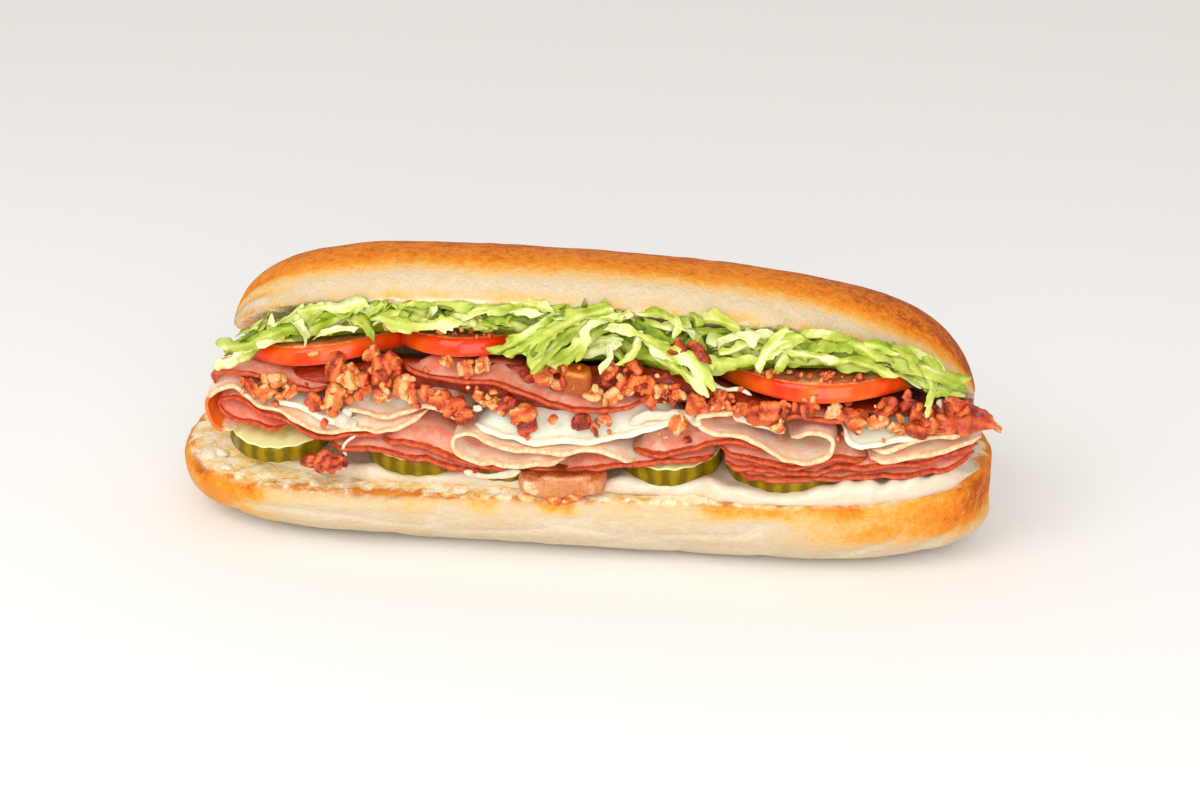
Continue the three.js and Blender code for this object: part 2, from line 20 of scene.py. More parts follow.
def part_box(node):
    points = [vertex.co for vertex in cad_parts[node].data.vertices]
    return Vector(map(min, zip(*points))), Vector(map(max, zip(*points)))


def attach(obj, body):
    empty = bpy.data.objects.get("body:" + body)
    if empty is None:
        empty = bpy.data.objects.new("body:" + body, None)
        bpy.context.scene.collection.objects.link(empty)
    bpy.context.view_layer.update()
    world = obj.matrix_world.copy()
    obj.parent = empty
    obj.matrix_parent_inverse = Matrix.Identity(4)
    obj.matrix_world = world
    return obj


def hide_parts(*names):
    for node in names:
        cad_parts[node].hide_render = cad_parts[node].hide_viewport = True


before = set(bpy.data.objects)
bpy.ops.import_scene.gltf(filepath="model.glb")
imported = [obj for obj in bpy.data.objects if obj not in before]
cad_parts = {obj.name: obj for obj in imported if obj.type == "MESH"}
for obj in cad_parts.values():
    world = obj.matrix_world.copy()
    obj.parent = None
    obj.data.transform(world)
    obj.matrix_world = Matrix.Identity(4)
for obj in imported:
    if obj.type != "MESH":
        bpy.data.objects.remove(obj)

Array = np.ndarray
Triple = tuple[float, float, float]
Colour = Triple
Pair = tuple[float, float]
Line = tuple[Pair, ...]
Socket = bpy.types.NodeSocket
Material = bpy.types.Material
Mesh = bpy.types.Mesh
Piece = bpy.types.Object
Rng = np.random.Generator

log = logging.getLogger("sandwich")
MM = 0.001
BODY = "root"
# Unit vector from the sandwich towards a viewer in front, a little to the right and above.
SIGHT: Triple = (0.137, -0.917, 0.375)
# A Mix node's sockets for two colours and for the colour that comes out.
MIX_COLOURS = (6, 7)
MIX_RESULT = 2


# ---- working with arrays


def plan(s: Array, power: float) -> Array:
    """Half width of a superellipse, 1 at the middle and 0 at the ends: root of 1 less |s|^power."""
    return np.sqrt(np.maximum(0.0, 1.0 - np.abs(s) ** power))


def signed_power(value: Array, power: float) -> Array:
    """A power that keeps the sign of its base."""
    return np.sign(value) * np.abs(value) ** power


def ease(value: Array, low: float, high: float) -> Array:
    """A smooth step from 0 at low to 1 at high, by the cubic 3t² - 2t³."""
    t = np.clip((value - low) / (high - low), 0.0, 1.0)
    return t * t * (3.0 - 2.0 * t)


def bump_at(value: Array, centre: float, width: float) -> Array:
    """A bell of height 1 about a centre: e to the minus square of the distance in widths."""
    return np.exp(-(((value - centre) / width) ** 2))


def end_stations(count: int, reach: float = 0.9985) -> Array:
    """Stations from -reach to reach that crowd towards both ends, as the sine of even steps."""
    return reach * np.sin(np.linspace(-math.pi / 2, math.pi / 2, count))


def full_turn(count: int) -> Array:
    """Angles in even steps round a full turn, the last one step short of the first."""
    return np.linspace(0, 2 * math.pi, count, endpoint=False)


def disc_profile(
    radius: float, edge: float, counts: tuple[int, int], inner: float, powers: tuple[float, float]
) -> tuple[Array, Array]:
    """The profile of a disc from mid top, round its rim, to mid underside.

    On the rim the radius grows from the edge's start by a power of the cosine of the bend, and the
    level is a power of its sine.

    Args:
        radius: the disc's radius.
        edge: how far in from the rim the rounding starts.
        counts: points along each face, and round the rim.
        inner: share of the face's radius where its outermost point lies.
        powers: powers of the cosine and of the sine.

    Returns:
        The radii, and the levels from 1 on the top face to -1 on the underside.
    """
    flat = np.linspace(0.02, inner, counts[0]) * (radius - edge)
    bend = np.linspace(math.pi / 2, -math.pi / 2, counts[1])
    radii = np.concatenate([flat, radius - edge + edge * np.cos(bend) ** powers[0], flat[::-1]])
    top = np.ones(counts[0])
    return radii, np.concatenate([top, signed_power(np.sin(bend), powers[1]), -top])


def line_height(line: Line, x: Array) -> Array:
    """Height at x on a line through points [x, z], straight between them."""
    xs, zs = np.array(line).T
    return np.interp(x, xs, zs)


def stacked(*parts: Array | float) -> Array:
    """Coordinates side by side on a last axis, each spread to the shape of them all."""
    return np.stack(np.broadcast_arrays(*parts), axis=-1)


def unit(vectors: Array) -> Array:
    """Vectors scaled to length 1."""
    return vectors / np.maximum(1e-9, np.linalg.norm(vectors, axis=-1, keepdims=True))


def smooth_curve(points: Array, spacing: float) -> Array:
    """A curve through control points, as evenly spaced points.

    Each span is a centripetal Catmull-Rom piece: its knots are spaced by the square root of the
    distance between the control points, and the point is the usual pyramid of linear blends.

    Args:
        points: control points, one a row.
        spacing: distance between the points returned.

    Returns:
        Points along the curve, from the first control point to the last.
    """
    padded = np.vstack([2 * points[0] - points[1], points, 2 * points[-1] - points[-2]])
    knots = np.concatenate([[0.0], np.cumsum(np.linalg.norm(np.diff(padded, axis=0), axis=1) ** 0.5)])
    t = np.linspace(knots[1], knots[-2], 40 * len(points))
    span = np.clip(np.searchsorted(knots, t, side="right") - 1, 1, len(points) - 1)
    p = [padded[span + k] for k in (-1, 0, 1, 2)]
    u = [knots[span + k] for k in (-1, 0, 1, 2)]

    def blend(a: Array, b: Array, low: Array, high: Array) -> Array:
        """The straight blend of a at low to b at high."""
        share = ((t - low) / (high - low))[:, None]
        return a * (1 - share) + b * share

    a = [blend(p[k], p[k + 1], u[k], u[k + 1]) for k in range(3)]
    b = [blend(a[k], a[k + 1], u[k], u[k + 2]) for k in range(2)]
    curve = blend(b[0], b[1], u[1], u[2])
    length = np.concatenate([[0.0], np.cumsum(np.linalg.norm(np.diff(curve, axis=0), axis=1))])
    even = np.linspace(0.0, length[-1], max(4, int(length[-1] / spacing)))
    return np.stack([np.interp(even, length, curve[:, k]) for k in range(curve.shape[1])], axis=1)


class Noise:
    """Smooth random unevenness, the same on every run."""

    CELLS = 32

    def __init__(self, seed: int) -> None:
        """Fills a repeating lattice with values from -1 to 1."""
        self.lattice = np.random.default_rng(seed).uniform(-1.0, 1.0, (self.CELLS,) * 3)

    def at(self, points: Array, size: float) -> Array:
        """The value at each point: the eight lattice values round it, blended by eased shares.

        Args:
            points: (..., 3) positions in millimetres.
            size: width of one lattice cell in millimetres.

        Returns:
            Values from -1 to 1.
        """
        scaled = points / size
        cell = np.floor(scaled).astype(int)
        share = scaled - cell
        share = share * share * (3 - 2 * share)
        total = np.zeros(points.shape[:-1])
        for corner in itertools.product((0, 1), repeat=3):
            index = (cell + corner) % self.CELLS
            weight = np.prod(np.where(corner, share, 1 - share), axis=-1)
            total += weight * self.lattice[index[..., 0], index[..., 1], index[..., 2]]
        return total

    def layered(self, points: Array, size: float, layers: int = 3) -> Array:
        """Noise of several sizes, each half the size and half the height of the one before."""
        return sum(self.at(points + 17.3 * k, size / 2**k) / 2**k for k in range(layers))


# ---- surfaces and pieces


@dataclass
class Skin:
    """A surface in millimetres: its points, its four-sided faces, and named values at each point."""

    points: Array
    quads: Array
    values: dict[str, Array] = field(default_factory=dict)

    def outwards(self) -> "Skin":
        """The same surface with its faces turned to point out of the space it closes.

        The volume is the sum over faces of a sixth of corner 0 · (corner 1 × corner 2) and the same
        for the other half of each face. Where it is negative, every face is reversed.
        """
        a, b, c, d = (self.points[self.quads[:, k]] for k in range(4))
        volume = np.sum(a * np.cross(b, c)) + np.sum(a * np.cross(c, d))
        if volume < 0:
            self.quads = self.quads[:, ::-1]
        return self


def joined(skins: list[Skin]) -> Skin:
    """Several surfaces as one, their values kept."""
    starts = np.cumsum([0] + [len(skin.points) for skin in skins[:-1]])
    quads = np.vstack([skin.quads + start for skin, start in zip(skins, starts)])
    names = skins[0].values.keys()
    values = {name: np.concatenate([skin.values[name] for skin in skins]) for name in names}
    return Skin(np.vstack([skin.points for skin in skins]), quads, values)


def grid_quads(rows: int, columns: int, round_columns: bool) -> Array:
    """The faces of a grid of points, row by row, with the columns closed into a ring or not."""
    index = np.arange(rows * columns).reshape(rows, columns)
    if round_columns:
        index = np.hstack([index, index[:, :1]])
    corners = (index[:-1, :-1], index[1:, :-1], index[1:, 1:], index[:-1, 1:])
    return np.stack([corner.ravel() for corner in corners], axis=1)


def closed_loft(rings: Array, values: dict[str, Array | float] | None = None) -> Skin:
    """A closed surface over rings of points, each end drawn together at its middle.

    Args:
        rings: (rings, points, 3) positions.
        values: named values, spread to (rings, points).

    Returns:
        The surface, facing outwards.
    """
    ends = [np.broadcast_to(rings[k].mean(axis=0), rings[k].shape) for k in (0, -1)]
    full = np.concatenate([ends[:1], rings, ends[1:]])
    quads = grid_quads(len(full), rings.shape[1], True)
    kept = {}
    for name, value in (values or {}).items():
        value = np.broadcast_to(value, rings.shape[:2])
        kept[name] = np.vstack([value[:1], value, value[-1:]]).ravel()
    return Skin(full.reshape(-1, 3), quads, kept).outwards()


def shade(mesh: Mesh, values: dict[str, Array]) -> None:
    """Stores values at a mesh's points, and makes its faces smooth."""
    for name, value in values.items():
        attribute = mesh.attributes.new(name, "FLOAT", "POINT")
        attribute.data.foreach_set("value", value.astype(np.float32))
    mesh.polygons.foreach_set("use_smooth", np.ones(len(mesh.polygons), bool))
    mesh.update()


def show(item: Piece) -> None:
    """Puts an object into the scene."""
    bpy.context.scene.collection.objects.link(item)


@dataclass(frozen=True)
class Layout:
    """Where the roll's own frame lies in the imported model's frame."""

    shift: Triple

    @classmethod
    def from_roll(cls, half_depth: float) -> "Layout":
        """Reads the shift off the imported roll: its middle in X, its front edge in Y, its underside in Z."""
        low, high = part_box("bread_roll")
        return cls(((low.x + high.x) / 2 / MM, low.y / MM + half_depth, low.z / MM))

    def metres(self, points: Array) -> Array:
        """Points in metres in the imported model's frame."""
        return (points + np.array(self.shift)) * MM


@dataclass
class Kitchen:
    """Turns surfaces into pieces of the scene, and keeps what loose toppings can lie on.

    Same_point is in metres; a line of sight starts look_from in front of a place.
    """

    layout: Layout
    ground: list[Skin] = field(default_factory=list)
    same_point: float = 1e-7
    look_from: float = 60.0
    look_through: float = 95.0

    def mesh_of(self, name: str, skin: Skin) -> Mesh:
        """A mesh with the skin's values as point attributes and its coinciding points merged."""
        mesh = bpy.data.meshes.new(name)
        mesh.from_pydata(self.layout.metres(skin.points), [], skin.quads.tolist())
        shade(mesh, skin.values)
        work = bmesh.new()
        work.from_mesh(mesh)
        bmesh.ops.remove_doubles(work, verts=work.verts, dist=self.same_point)
        work.to_mesh(mesh)
        work.free()
        mesh.update()
        return mesh

    def serve(
        self,
        name: str,
        shape: Skin | Mesh,
        material: Material,
        nodes: tuple[str, ...] = (),
        lies_under: bool = True,
    ) -> None:
        """Puts a piece into the scene, fixed to the model.

        Args:
            name: the piece's name.
            shape: its surface in millimetres, or its mesh in metres.
            material: its finish.
            nodes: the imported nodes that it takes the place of.
            lies_under: whether loose toppings can lie on the surface.
        """
        if isinstance(shape, Skin):
            if lies_under:
                self.ground.append(shape)
            shape = self.mesh_of(name, shape)
        piece = bpy.data.objects.new(name, shape)
        show(piece)
        shape.materials.append(material)
        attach(piece, BODY)
        if nodes:
            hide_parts(*nodes)
        log.info("%s: %d faces", name, len(shape.polygons))

    def first_met(self, places: Array, slack: Array) -> tuple[Array, Array]:
        """Where a line from in front and above to each place first meets what lies there.

        Args:
            places: (n, 3) places on the front face.
            slack: how far past each place the line may go, where nothing is met before.

        Returns:
            The points met and the surface normals there.
        """
        whole = joined([Skin(skin.points, skin.quads) for skin in self.ground if skin.quads.shape[1] == 4])
        tree = BVHTree.FromPolygons(whole.points.tolist(), whole.quads.tolist())
        view = Vector(SIGHT)
        met = places.copy()
        normals = np.tile(np.array(SIGHT), (len(places), 1))
        for k, at in enumerate(places):
            deepest = Vector(at) - float(slack[k]) * view
            hit, normal, _, _ = tree.ray_cast(Vector(at) + self.look_from * view, -view, self.look_through)
            if hit is None or (hit - deepest).dot(view) < 0:
                hit, normal = deepest, view
            met[k], normals[k] = hit, normal
        return met, normals


# ---- finishes


def linear(red: float, green: float, blue: float) -> Colour:
    """A colour given in 0-255 screen values, as the renderer's linear values."""
    share = np.array([red, green, blue]) / 255
    return tuple(np.where(share <= 0.04045, share / 12.92, ((share + 0.055) / 1.055) ** 2.4))


class Recipe:
    """A material's nodes, with short ways to add and join them."""

    def __init__(self, name: str) -> None:
        """Starts a material with a principled shader on its output."""
        self.material = bpy.data.materials.new(name)
        self.material.use_nodes = True
        self.tree = self.material.node_tree
        self.tree.nodes.clear()
        self.shader = self.add("BsdfPrincipled")
        self.join(self.shader.outputs["BSDF"], self.add("OutputMaterial"), "Surface")
        self.place = self.add("TexCoord").outputs["Object"]

    def add(self, kind: str, **sockets: float | tuple) -> bpy.types.Node:
        """A new node with some of its sockets set, named with underscores for spaces."""
        node = self.tree.nodes.new("ShaderNode" + kind)
        for name, value in sockets.items():
            node.inputs[name.replace("_", " ")].default_value = value
        return node

    def surface(self, **sockets: float | tuple) -> "Recipe":
        """Sets the shader's own sockets, named with underscores for spaces."""
        for name, value in sockets.items():
            self.shader.inputs[name.replace("_", " ")].default_value = value
        return self

    def join(self, source: Socket, node: bpy.types.Node, socket: str | int) -> None:
        """Links a socket to a node's input."""
        self.tree.links.new(source, node.inputs[socket])

    def attribute(self, name: str) -> Socket:
        """A value kept at the mesh's points."""
        node = self.add("Attribute")
        node.attribute_name = name
        return node.outputs["Fac"]

    def noise(self, size: float, detail: float = 3.0) -> Socket:
        """Cloudy noise with features about size millimetres wide."""
        node = self.add("TexNoise", Scale=1.0 / (size * MM), Detail=detail, Roughness=0.6)
        self.join(self.place, node, "Vector")
        return node.outputs["Fac"]

    def cells(self, size: float) -> Socket:
        """Distance to the nearest of scattered points about size millimetres apart."""
        node = self.add("TexVoronoi", Scale=1.0 / (size * MM))
        self.join(self.place, node, "Vector")
        return node.outputs["Distance"]

    def maths(self, operation: str, a: Socket | float, b: Socket | float) -> Socket:
        """One sum, product or other operation on two values."""
        node = self.add("Math")
        node.operation = operation
        for k, value in enumerate((a, b)):
            if isinstance(value, Socket):
                self.join(value, node, k)
            else:
                node.inputs[k].default_value = value
        return node.outputs["Value"]

    def ramp(self, value: Socket, stops: tuple[tuple[float, Colour], ...]) -> Socket:
        """A colour that changes with a value, through the stops given."""
        node = self.add("ValToRGB")
        elements = node.color_ramp.elements
        for _ in stops[2:]:
            elements.new(0.5)
        for element, (position, colour) in zip(elements, stops):
            element.position = position
            element.color = (*linear(*colour), 1.0)
        self.join(value, node, "Fac")
        return node.outputs["Color"]

    def shaken(self, value: Socket | float, *layers: Triple) -> Socket:
        """A value moved up and down by layers of noise, each (size, detail, most it moves)."""
        for size, detail, by in layers:
            centred = self.maths("SUBTRACT", self.noise(size, detail), 0.5)
            value = self.maths("ADD", value, self.maths("MULTIPLY", centred, 2 * by))
        return value

    def step(self, value: Socket, low: float, high: float) -> Socket:
        """A smooth step of a value from 0 at low to 1 at high."""
        node = self.add("MapRange", From_Min=low, From_Max=high)
        node.interpolation_type = "SMOOTHSTEP"
        self.join(value, node, "Value")
        return node.outputs["Result"]

    def clouds(self, size: float, detail: float, low: float, high: float) -> Socket:
        """Noise stepped into patches."""
        return self.step(self.noise(size, detail), low, high)

    def mix(self, share: Socket, first: Socket | Colour, second: Socket | Colour) -> Socket:
        """A colour between two, by a share from 0 to 1. A fixed colour is given in screen values."""
        node = self.add("Mix")
        node.data_type = "RGBA"
        self.join(share, node, "Factor")
        for k, colour in zip(MIX_COLOURS, (first, second)):
            if isinstance(colour, Socket):
                self.join(colour, node, k)
            else:
                node.inputs[k].default_value = (*linear(*colour), 1.0)
        return node.outputs[MIX_RESULT]

    def colour(self, source: Socket) -> "Recipe":
        """Sends a colour to the shader."""
        self.join(source, self.shader, "Base Color")
        return self

    def roughness(self, size: float, low: float, high: float) -> "Recipe":
        """Roughness between two limits, by noise."""
        source = self.noise(size)
        node = self.add("MapRange", To_Min=low, To_Max=high)
        self.join(source, node, "Value")
        self.join(node.outputs["Result"], self.shader, "Roughness")
        return self

    def relief(self, *layers: Triple) -> Material:
        """Adds fine relief, and gives the finished material.

        Each layer is noise as (size, detail, millimetres from its lowest to its highest).
        """
        heights = [self.noise(size, detail) for size, detail, _ in layers]
        normal = None
        for height, (_, _, depth) in zip(heights, layers):
            node = self.add("Bump", Distance=depth * MM)
            self.join(height, node, "Height")
            if normal:
                self.join(normal, node, "Normal")
            normal = node.outputs["Normal"]
        self.join(normal, self.shader, "Normal")
        return self.material


@dataclass(frozen=True)
class BreadFinish:
    """Baked crust from cream to brown, and the pale open crumb of the cut faces."""

    # The pale stop, at bake 0, is reached mostly at the foot of the lower half, where it is painted light
    # against the shade under the roll.
    pale: Colour = (216, 200, 172)
    cream: Colour = (209, 188, 154)
    straw: Colour = (224, 180, 112)
    golden: Colour = (228, 152, 50)
    amber: Colour = (224, 124, 20)
    brown: Colour = (168, 74, 14)
    crumb: Colour = (244, 230, 198)
    pore: Colour = (236, 194, 114)
    toast: Colour = (206, 124, 38)

    def material(self) -> Material:
        """Colour follows the bake value, mottled at three sizes and most where it is well baked.

        The crumb has pores and toasted spots.
        """
        look = Recipe("bread").surface(Specular_IOR_Level=0.18)
        even = look.attribute("bake")
        mottle = look.shaken(0.0, (8.0, 4.0, 0.22), (2.4, 4.0, 0.34), (0.8, 3.0, 0.26))
        growth = look.maths("ADD", look.maths("MULTIPLY", even, 0.8), 0.35)
        bake = look.maths("ADD", even, look.maths("MULTIPLY", mottle, growth))
        tones = (self.pale, self.cream, self.straw, self.golden, self.amber, self.brown)
        crust = look.ramp(bake, tuple(zip((0.0, 0.12, 0.3, 0.52, 0.76, 1.0), tones)))
        crumb = look.mix(look.clouds(4.4, 6.0, 0.36, 0.6), self.pore, self.crumb)
        toasted = look.step(look.shaken(look.attribute("toast"), (4.2, 4.0, 0.9)), 0.55, 1.0)
        crumb = look.mix(toasted, crumb, self.toast)
        look.colour(look.mix(look.attribute("crumb"), crust, crumb))
        return look.roughness(3.0, 0.5, 0.75).relief((4.0, 4.0, 0.7), (1.0, 3.0, 0.35))


@dataclass(frozen=True)
class SauceFinish:
    """Glossy cream mayonnaise."""

    name: str = "mayonnaise"
    cream: Colour = (220, 206, 184)
    shade: Colour = (212, 194, 164)

    def material(self) -> Material:
        """Nearly even cream with a faint warmer cloudiness, softly see-through."""
        look = Recipe(self.name).surface(Subsurface_Weight=0.25, Subsurface_Scale=0.003)
        look.colour(look.mix(look.clouds(6.0, 3.0, 0.35, 0.75), self.cream, self.shade))
        return look.roughness(5.0, 0.2, 0.36).relief((2.2, 2.0, 0.18))


@dataclass(frozen=True)
class PickleFinish:
    """Olive skin with lighter bands along its flutes, painted light and shade, round a pale, seedy flesh."""

    skin: Colour = (104, 84, 0)
    # The rib colour is the lighter skin of the bands painted in step with the flutes, as painted light.
    rib: Colour = (144, 118, 4)
    flesh: Colour = (240, 244, 174)
    seed: Colour = (246, 250, 208)
    core: Colour = (222, 228, 136)

    def material(self) -> Material:
        """The skin value mixes flesh into skin; the rib value, painted light and shade in step with the
        flutes, and blotches lighten the skin.
        """
        look = Recipe("pickle").surface(Specular_IOR_Level=0.12)
        # The rib value holds painted light and shade along the flutes.
        ribs = look.shaken(look.attribute("rib"), (3.5, 4.0, 1.0))
        skin = look.mix(look.step(ribs, 0.0, 1.1), self.skin, self.rib)
        seeds = look.step(look.cells(3.4), 0.2, 0.42)
        inner = look.mix(seeds, self.seed, self.core)
        flesh = look.mix(look.step(look.attribute("radius"), 0.5, 0.75), inner, self.flesh)
        look.colour(look.mix(look.step(look.attribute("skin"), 0.35, 0.8), flesh, skin))
        return look.roughness(3.0, 0.16, 0.34).relief((1.4, 3.0, 0.15))


@dataclass(frozen=True)
class MeatFinish:
    """A cured slice: its face, its cut or smoked edge, and a finer marbling."""

    name: str
    face: Colour
    marble: Colour
    edge: Colour
    edge_dark: Colour
    smoked: Colour = (222, 112, 36)
    gloss: tuple[float, float] = (0.24, 0.42)

    def material(self) -> Material:
        """The rim value mixes face into edge, and above 3 into smoked; the face is marbled at two sizes."""
        look = Recipe(self.name)
        look.surface(Subsurface_Weight=0.45, Subsurface_Scale=0.006, Specular_IOR_Level=0.35)
        marbling = look.shaken(look.noise(5.0, 4.0), (1.2, 2.0, 0.12))
        face = look.mix(look.step(marbling, 0.36, 0.66), self.face, self.marble)
        edge = look.mix(look.clouds(2.0, 4.0, 0.35, 0.7), self.edge, self.edge_dark)
        rim = look.shaken(look.attribute("rim"), (1.6, 4.0, 0.5), (9.0, 3.0, 0.5))
        cut = look.mix(look.step(rim, 0.3, 0.75), face, edge)
        look.colour(look.mix(look.step(rim, 2.4, 3.6), cut, self.smoked))
        return look.roughness(2.0, *self.gloss).relief((1.0, 3.0, 0.1))


@dataclass(frozen=True)
class TomatoFinish:
    """Red-orange skin round pinker wet flesh."""

    skin: Colour = (238, 54, 4)
    blush: Colour = (248, 104, 22)
    flesh: Colour = (255, 178, 122)
    wet: Colour = (255, 118, 66)

    def material(self) -> Material:
        """The skin value mixes flesh into skin, and the flesh has paler fibres."""
        look = Recipe("tomato").surface(Coat_Weight=0.25)
        look.surface(Subsurface_Weight=0.3, Subsurface_Scale=0.004, Specular_IOR_Level=0.2)
        skin = look.mix(look.clouds(16.0, 2.0, 0.4, 0.68), self.skin, self.blush)
        flesh = look.mix(look.clouds(2.6, 4.0, 0.42, 0.62), self.wet, self.flesh)
        look.colour(look.mix(look.step(look.attribute("skin"), 0.3, 0.7), flesh, skin))
        return look.roughness(4.0, 0.1, 0.22).relief((2.4, 3.0, 0.12))


@dataclass(frozen=True)
class BaconFinish:
    """Fried lean from red-brown to dark, and golden fat."""

    name: str = "bacon"
    dark: Colour = (132, 36, 8)
    lean: Colour = (198, 66, 22)
    pink: Colour = (226, 104, 46)
    golden: Colour = (218, 128, 48)
    pale: Colour = (240, 190, 128)

    def material(self) -> Material:
        """Colour runs with the fat value from dark lean to pale fat, in patches."""
        look = Recipe(self.name).surface(Specular_IOR_Level=0.3, Coat_Weight=0.3)
        share = look.shaken(look.attribute("fat"), (2.0, 3.0, 0.26), (0.7, 3.0, 0.26))
        tones = (self.dark, self.lean, self.pink, self.golden, self.pale)
        look.colour(look.ramp(share, tuple(zip((0.0, 0.25, 0.5, 0.75, 1.0), tones))))
        return look.roughness(1.2, 0.2, 0.46).relief((1.3, 4.0, 0.8), (0.45, 2.0, 0.2))


@dataclass(frozen=True)
class LettuceFinish:
    """Crisp leaf from almost white ribs to fresh green."""

    rib: Colour = (232, 236, 176)
    pale: Colour = (196, 204, 92)
    leaf: Colour = (150, 170, 34)
    # This darkest stop is the darkest leaf, and also the painted shade of the core and of the crinkles.
    deep: Colour = (90, 118, 12)

    def material(self) -> Material:
        """The green value runs from rib to darkest leaf, and also carries painted shade on the core and
        painted light and shade along the crinkles and pleats, with veins as fine relief.
        """
        look = Recipe("lettuce")
        look.surface(Subsurface_Weight=0.12, Subsurface_Scale=0.002, Specular_IOR_Level=0.4)
        green = look.shaken(look.attribute("green"), (3.0, 4.0, 0.3))
        stops = ((0.0, self.rib), (0.32, self.pale), (0.66, self.leaf), (1.0, self.deep))
        look.colour(look.ramp(green, stops))
        return look.roughness(3.0, 0.26, 0.46).relief((2.0, 4.0, 0.5))


# ---- the roll


@dataclass(frozen=True)
class CrustPoints:
    """What is known of each point of the fused roll, and its relief and bake.

    On_base is 1 on the lower half and 0 on the lid, crumb is 1 on the cut faces, below is the depth
    under the lower cut face, edge the distance in from the lower half's outline, s the lid's
    station and turn the turn round the lid, from 0 at the lip to pi at the back.
    """

    points: Array
    on_base: Array
    crumb: Array
    below: Array
    edge: Array
    s: Array
    turn: Array
    noise: Noise = field(default_factory=lambda: Noise(3))

    def creases(self) -> Array:
        """Long thin creases, where noise stretched along the roll passes through 0."""
        return (1 - np.abs(self.noise.at(self.points * (0.35, 1, 1), 9.0))) ** 6

    def corner_folds(self) -> tuple[Array, Array]:
        """Where the lid's left corner is, and the ridges of a wandering wave that folds it."""
        corner = bump_at(self.points[:, 0], -112, 14) * (1 - self.on_base) * bump_at(self.turn, 0.22, 0.3)
        folds = np.cos(self.turn * 26 + 1.2 * self.noise.at(self.points, 9.0))
        return corner, np.clip(folds, 0, 1)

    def crust_relief(self) -> Array:
        """Swells and dimples everywhere, creases low on the side, a ragged rim and lip, and folds.

        The lower half is also a little fuller near its foot, and the lid a little flatter on top.
        """
        noise, points, below = self.noise, self.points, self.below
        on_base, on_lid = self.on_base, 1 - self.on_base
        relief = 0.7 * noise.at(points, 38.0) + 0.35 * noise.at(points + 9, 15.0)
        relief += 0.16 * noise.layered(points, 6.0, 2)
        relief -= 0.8 * self.creases() * on_base * ease(below, 3, 9) * (1 - ease(below, 24, 30))
        relief += on_base * (1 - ease(below, 0.5, 4.5)) * 0.9 * noise.layered(points, 5.0, 3)
        relief += 0.9 * on_base * ease(below, 18, 26) - 0.9 * on_lid * ease(self.turn, 0.7, 1.5)
        relief += on_lid * bump_at(self.turn, 0.0, 0.16) * 0.5 * noise.layered(points, 6.0, 2)
        corner, folds = self.corner_folds()
        return relief - corner * 1.1 * folds

    def relief(self) -> Array:
        """How far each point moves outwards: the crust's relief, or the crumb's lumps and holes."""
        holes = ease(self.noise.at(self.points + 31, 3.4), 0.15, 0.7)
        crumb_relief = 0.5 * self.noise.layered(self.points, 7.0, 2) - 0.9 * holes
        return self.crust_relief() * (1 - self.crumb) + crumb_relief * self.crumb

    def lid_bake(self) -> Array:
        """Pale along the sides, golden to brown over the top, darker at the right end and the lip."""
        noise, points, s, turn = self.noise, self.points, self.s, self.turn
        side = np.minimum(turn, math.pi - turn) + 0.05 * noise.at(points, 26.0)
        right = ease(s, 0.35, 0.92)
        bake = 0.1 + 0.65 * ease((side - 0.2 + 0.17 * right) / (0.42 + 0.02 * right), 0.0, 1.0)
        bake += 0.16 * ease(side, 0.6, 1.3) + 0.14 * right * ease(side, 0.1, 0.6)
        bake += 0.14 * ease(s, 0.86, 1.0) - 0.12 * ease(-s, 0.8, 1.0)
        lip = 0.26 * bump_at(turn, 0.02, 0.07) * (0.6 + 0.8 * noise.at(points, 7.0))
        corner, folds = self.corner_folds()
        return bake + lip * (1 - self.on_base) + 0.5 * corner * folds

    def base_bake(self) -> Array:
        """Pale, paler towards the foot as painted light against the shade under the roll, with golden patches
        along the rim and golden ends.
        """
        noise, points, below = self.noise, self.points, self.below
        x = points[:, 0]
        patches = ease(noise.layered(points, 13.0, 3), -0.1, 0.8)
        # Below 12 to 24 mm the bake falls to 0, painting the foot paler as light against its shade.
        bake = 0.12 - 0.12 * ease(below, 12, 24) + (1 - ease(below, 1.5, 7.5)) * (0.06 + 0.42 * patches)
        bake += 0.33 * ease(-x, 84, 124) * (1 - 0.7 * ease(below, 13, 26))
        bake += 0.48 * ease(x, 62, 112) * bump_at(below, 9, 10)
        bake += 0.3 * ease(x, 112, 132) * (1 - ease(below, 14, 27))
        bake += 0.14 * ease(noise.at(points + 5, 22.0), 0.0, 0.8)
        return bake - 0.2 * self.creases() * ease(below, 3, 9)

    def bake(self) -> Array:
        """How well each point is baked, from 0 to 1, with the foot of the lower half lowered to pale as
        painted light.
        """
        return self.on_base * self.base_bake() + (1 - self.on_base) * self.lid_bake()

    def toast(self) -> Array:
        """How toasted the crumb is: most along the rim, left of the middle and at the right end."""
        x = self.points[:, 0]
        toast = 0.22 + 0.46 * (1 - ease(self.edge, 1.5, 8.0))
        toast += 0.3 * bump_at(x, -60, 40) * (1 - ease(self.edge, 5.0, 13.0))
        return toast + 0.3 * ease(x, 116, 130)


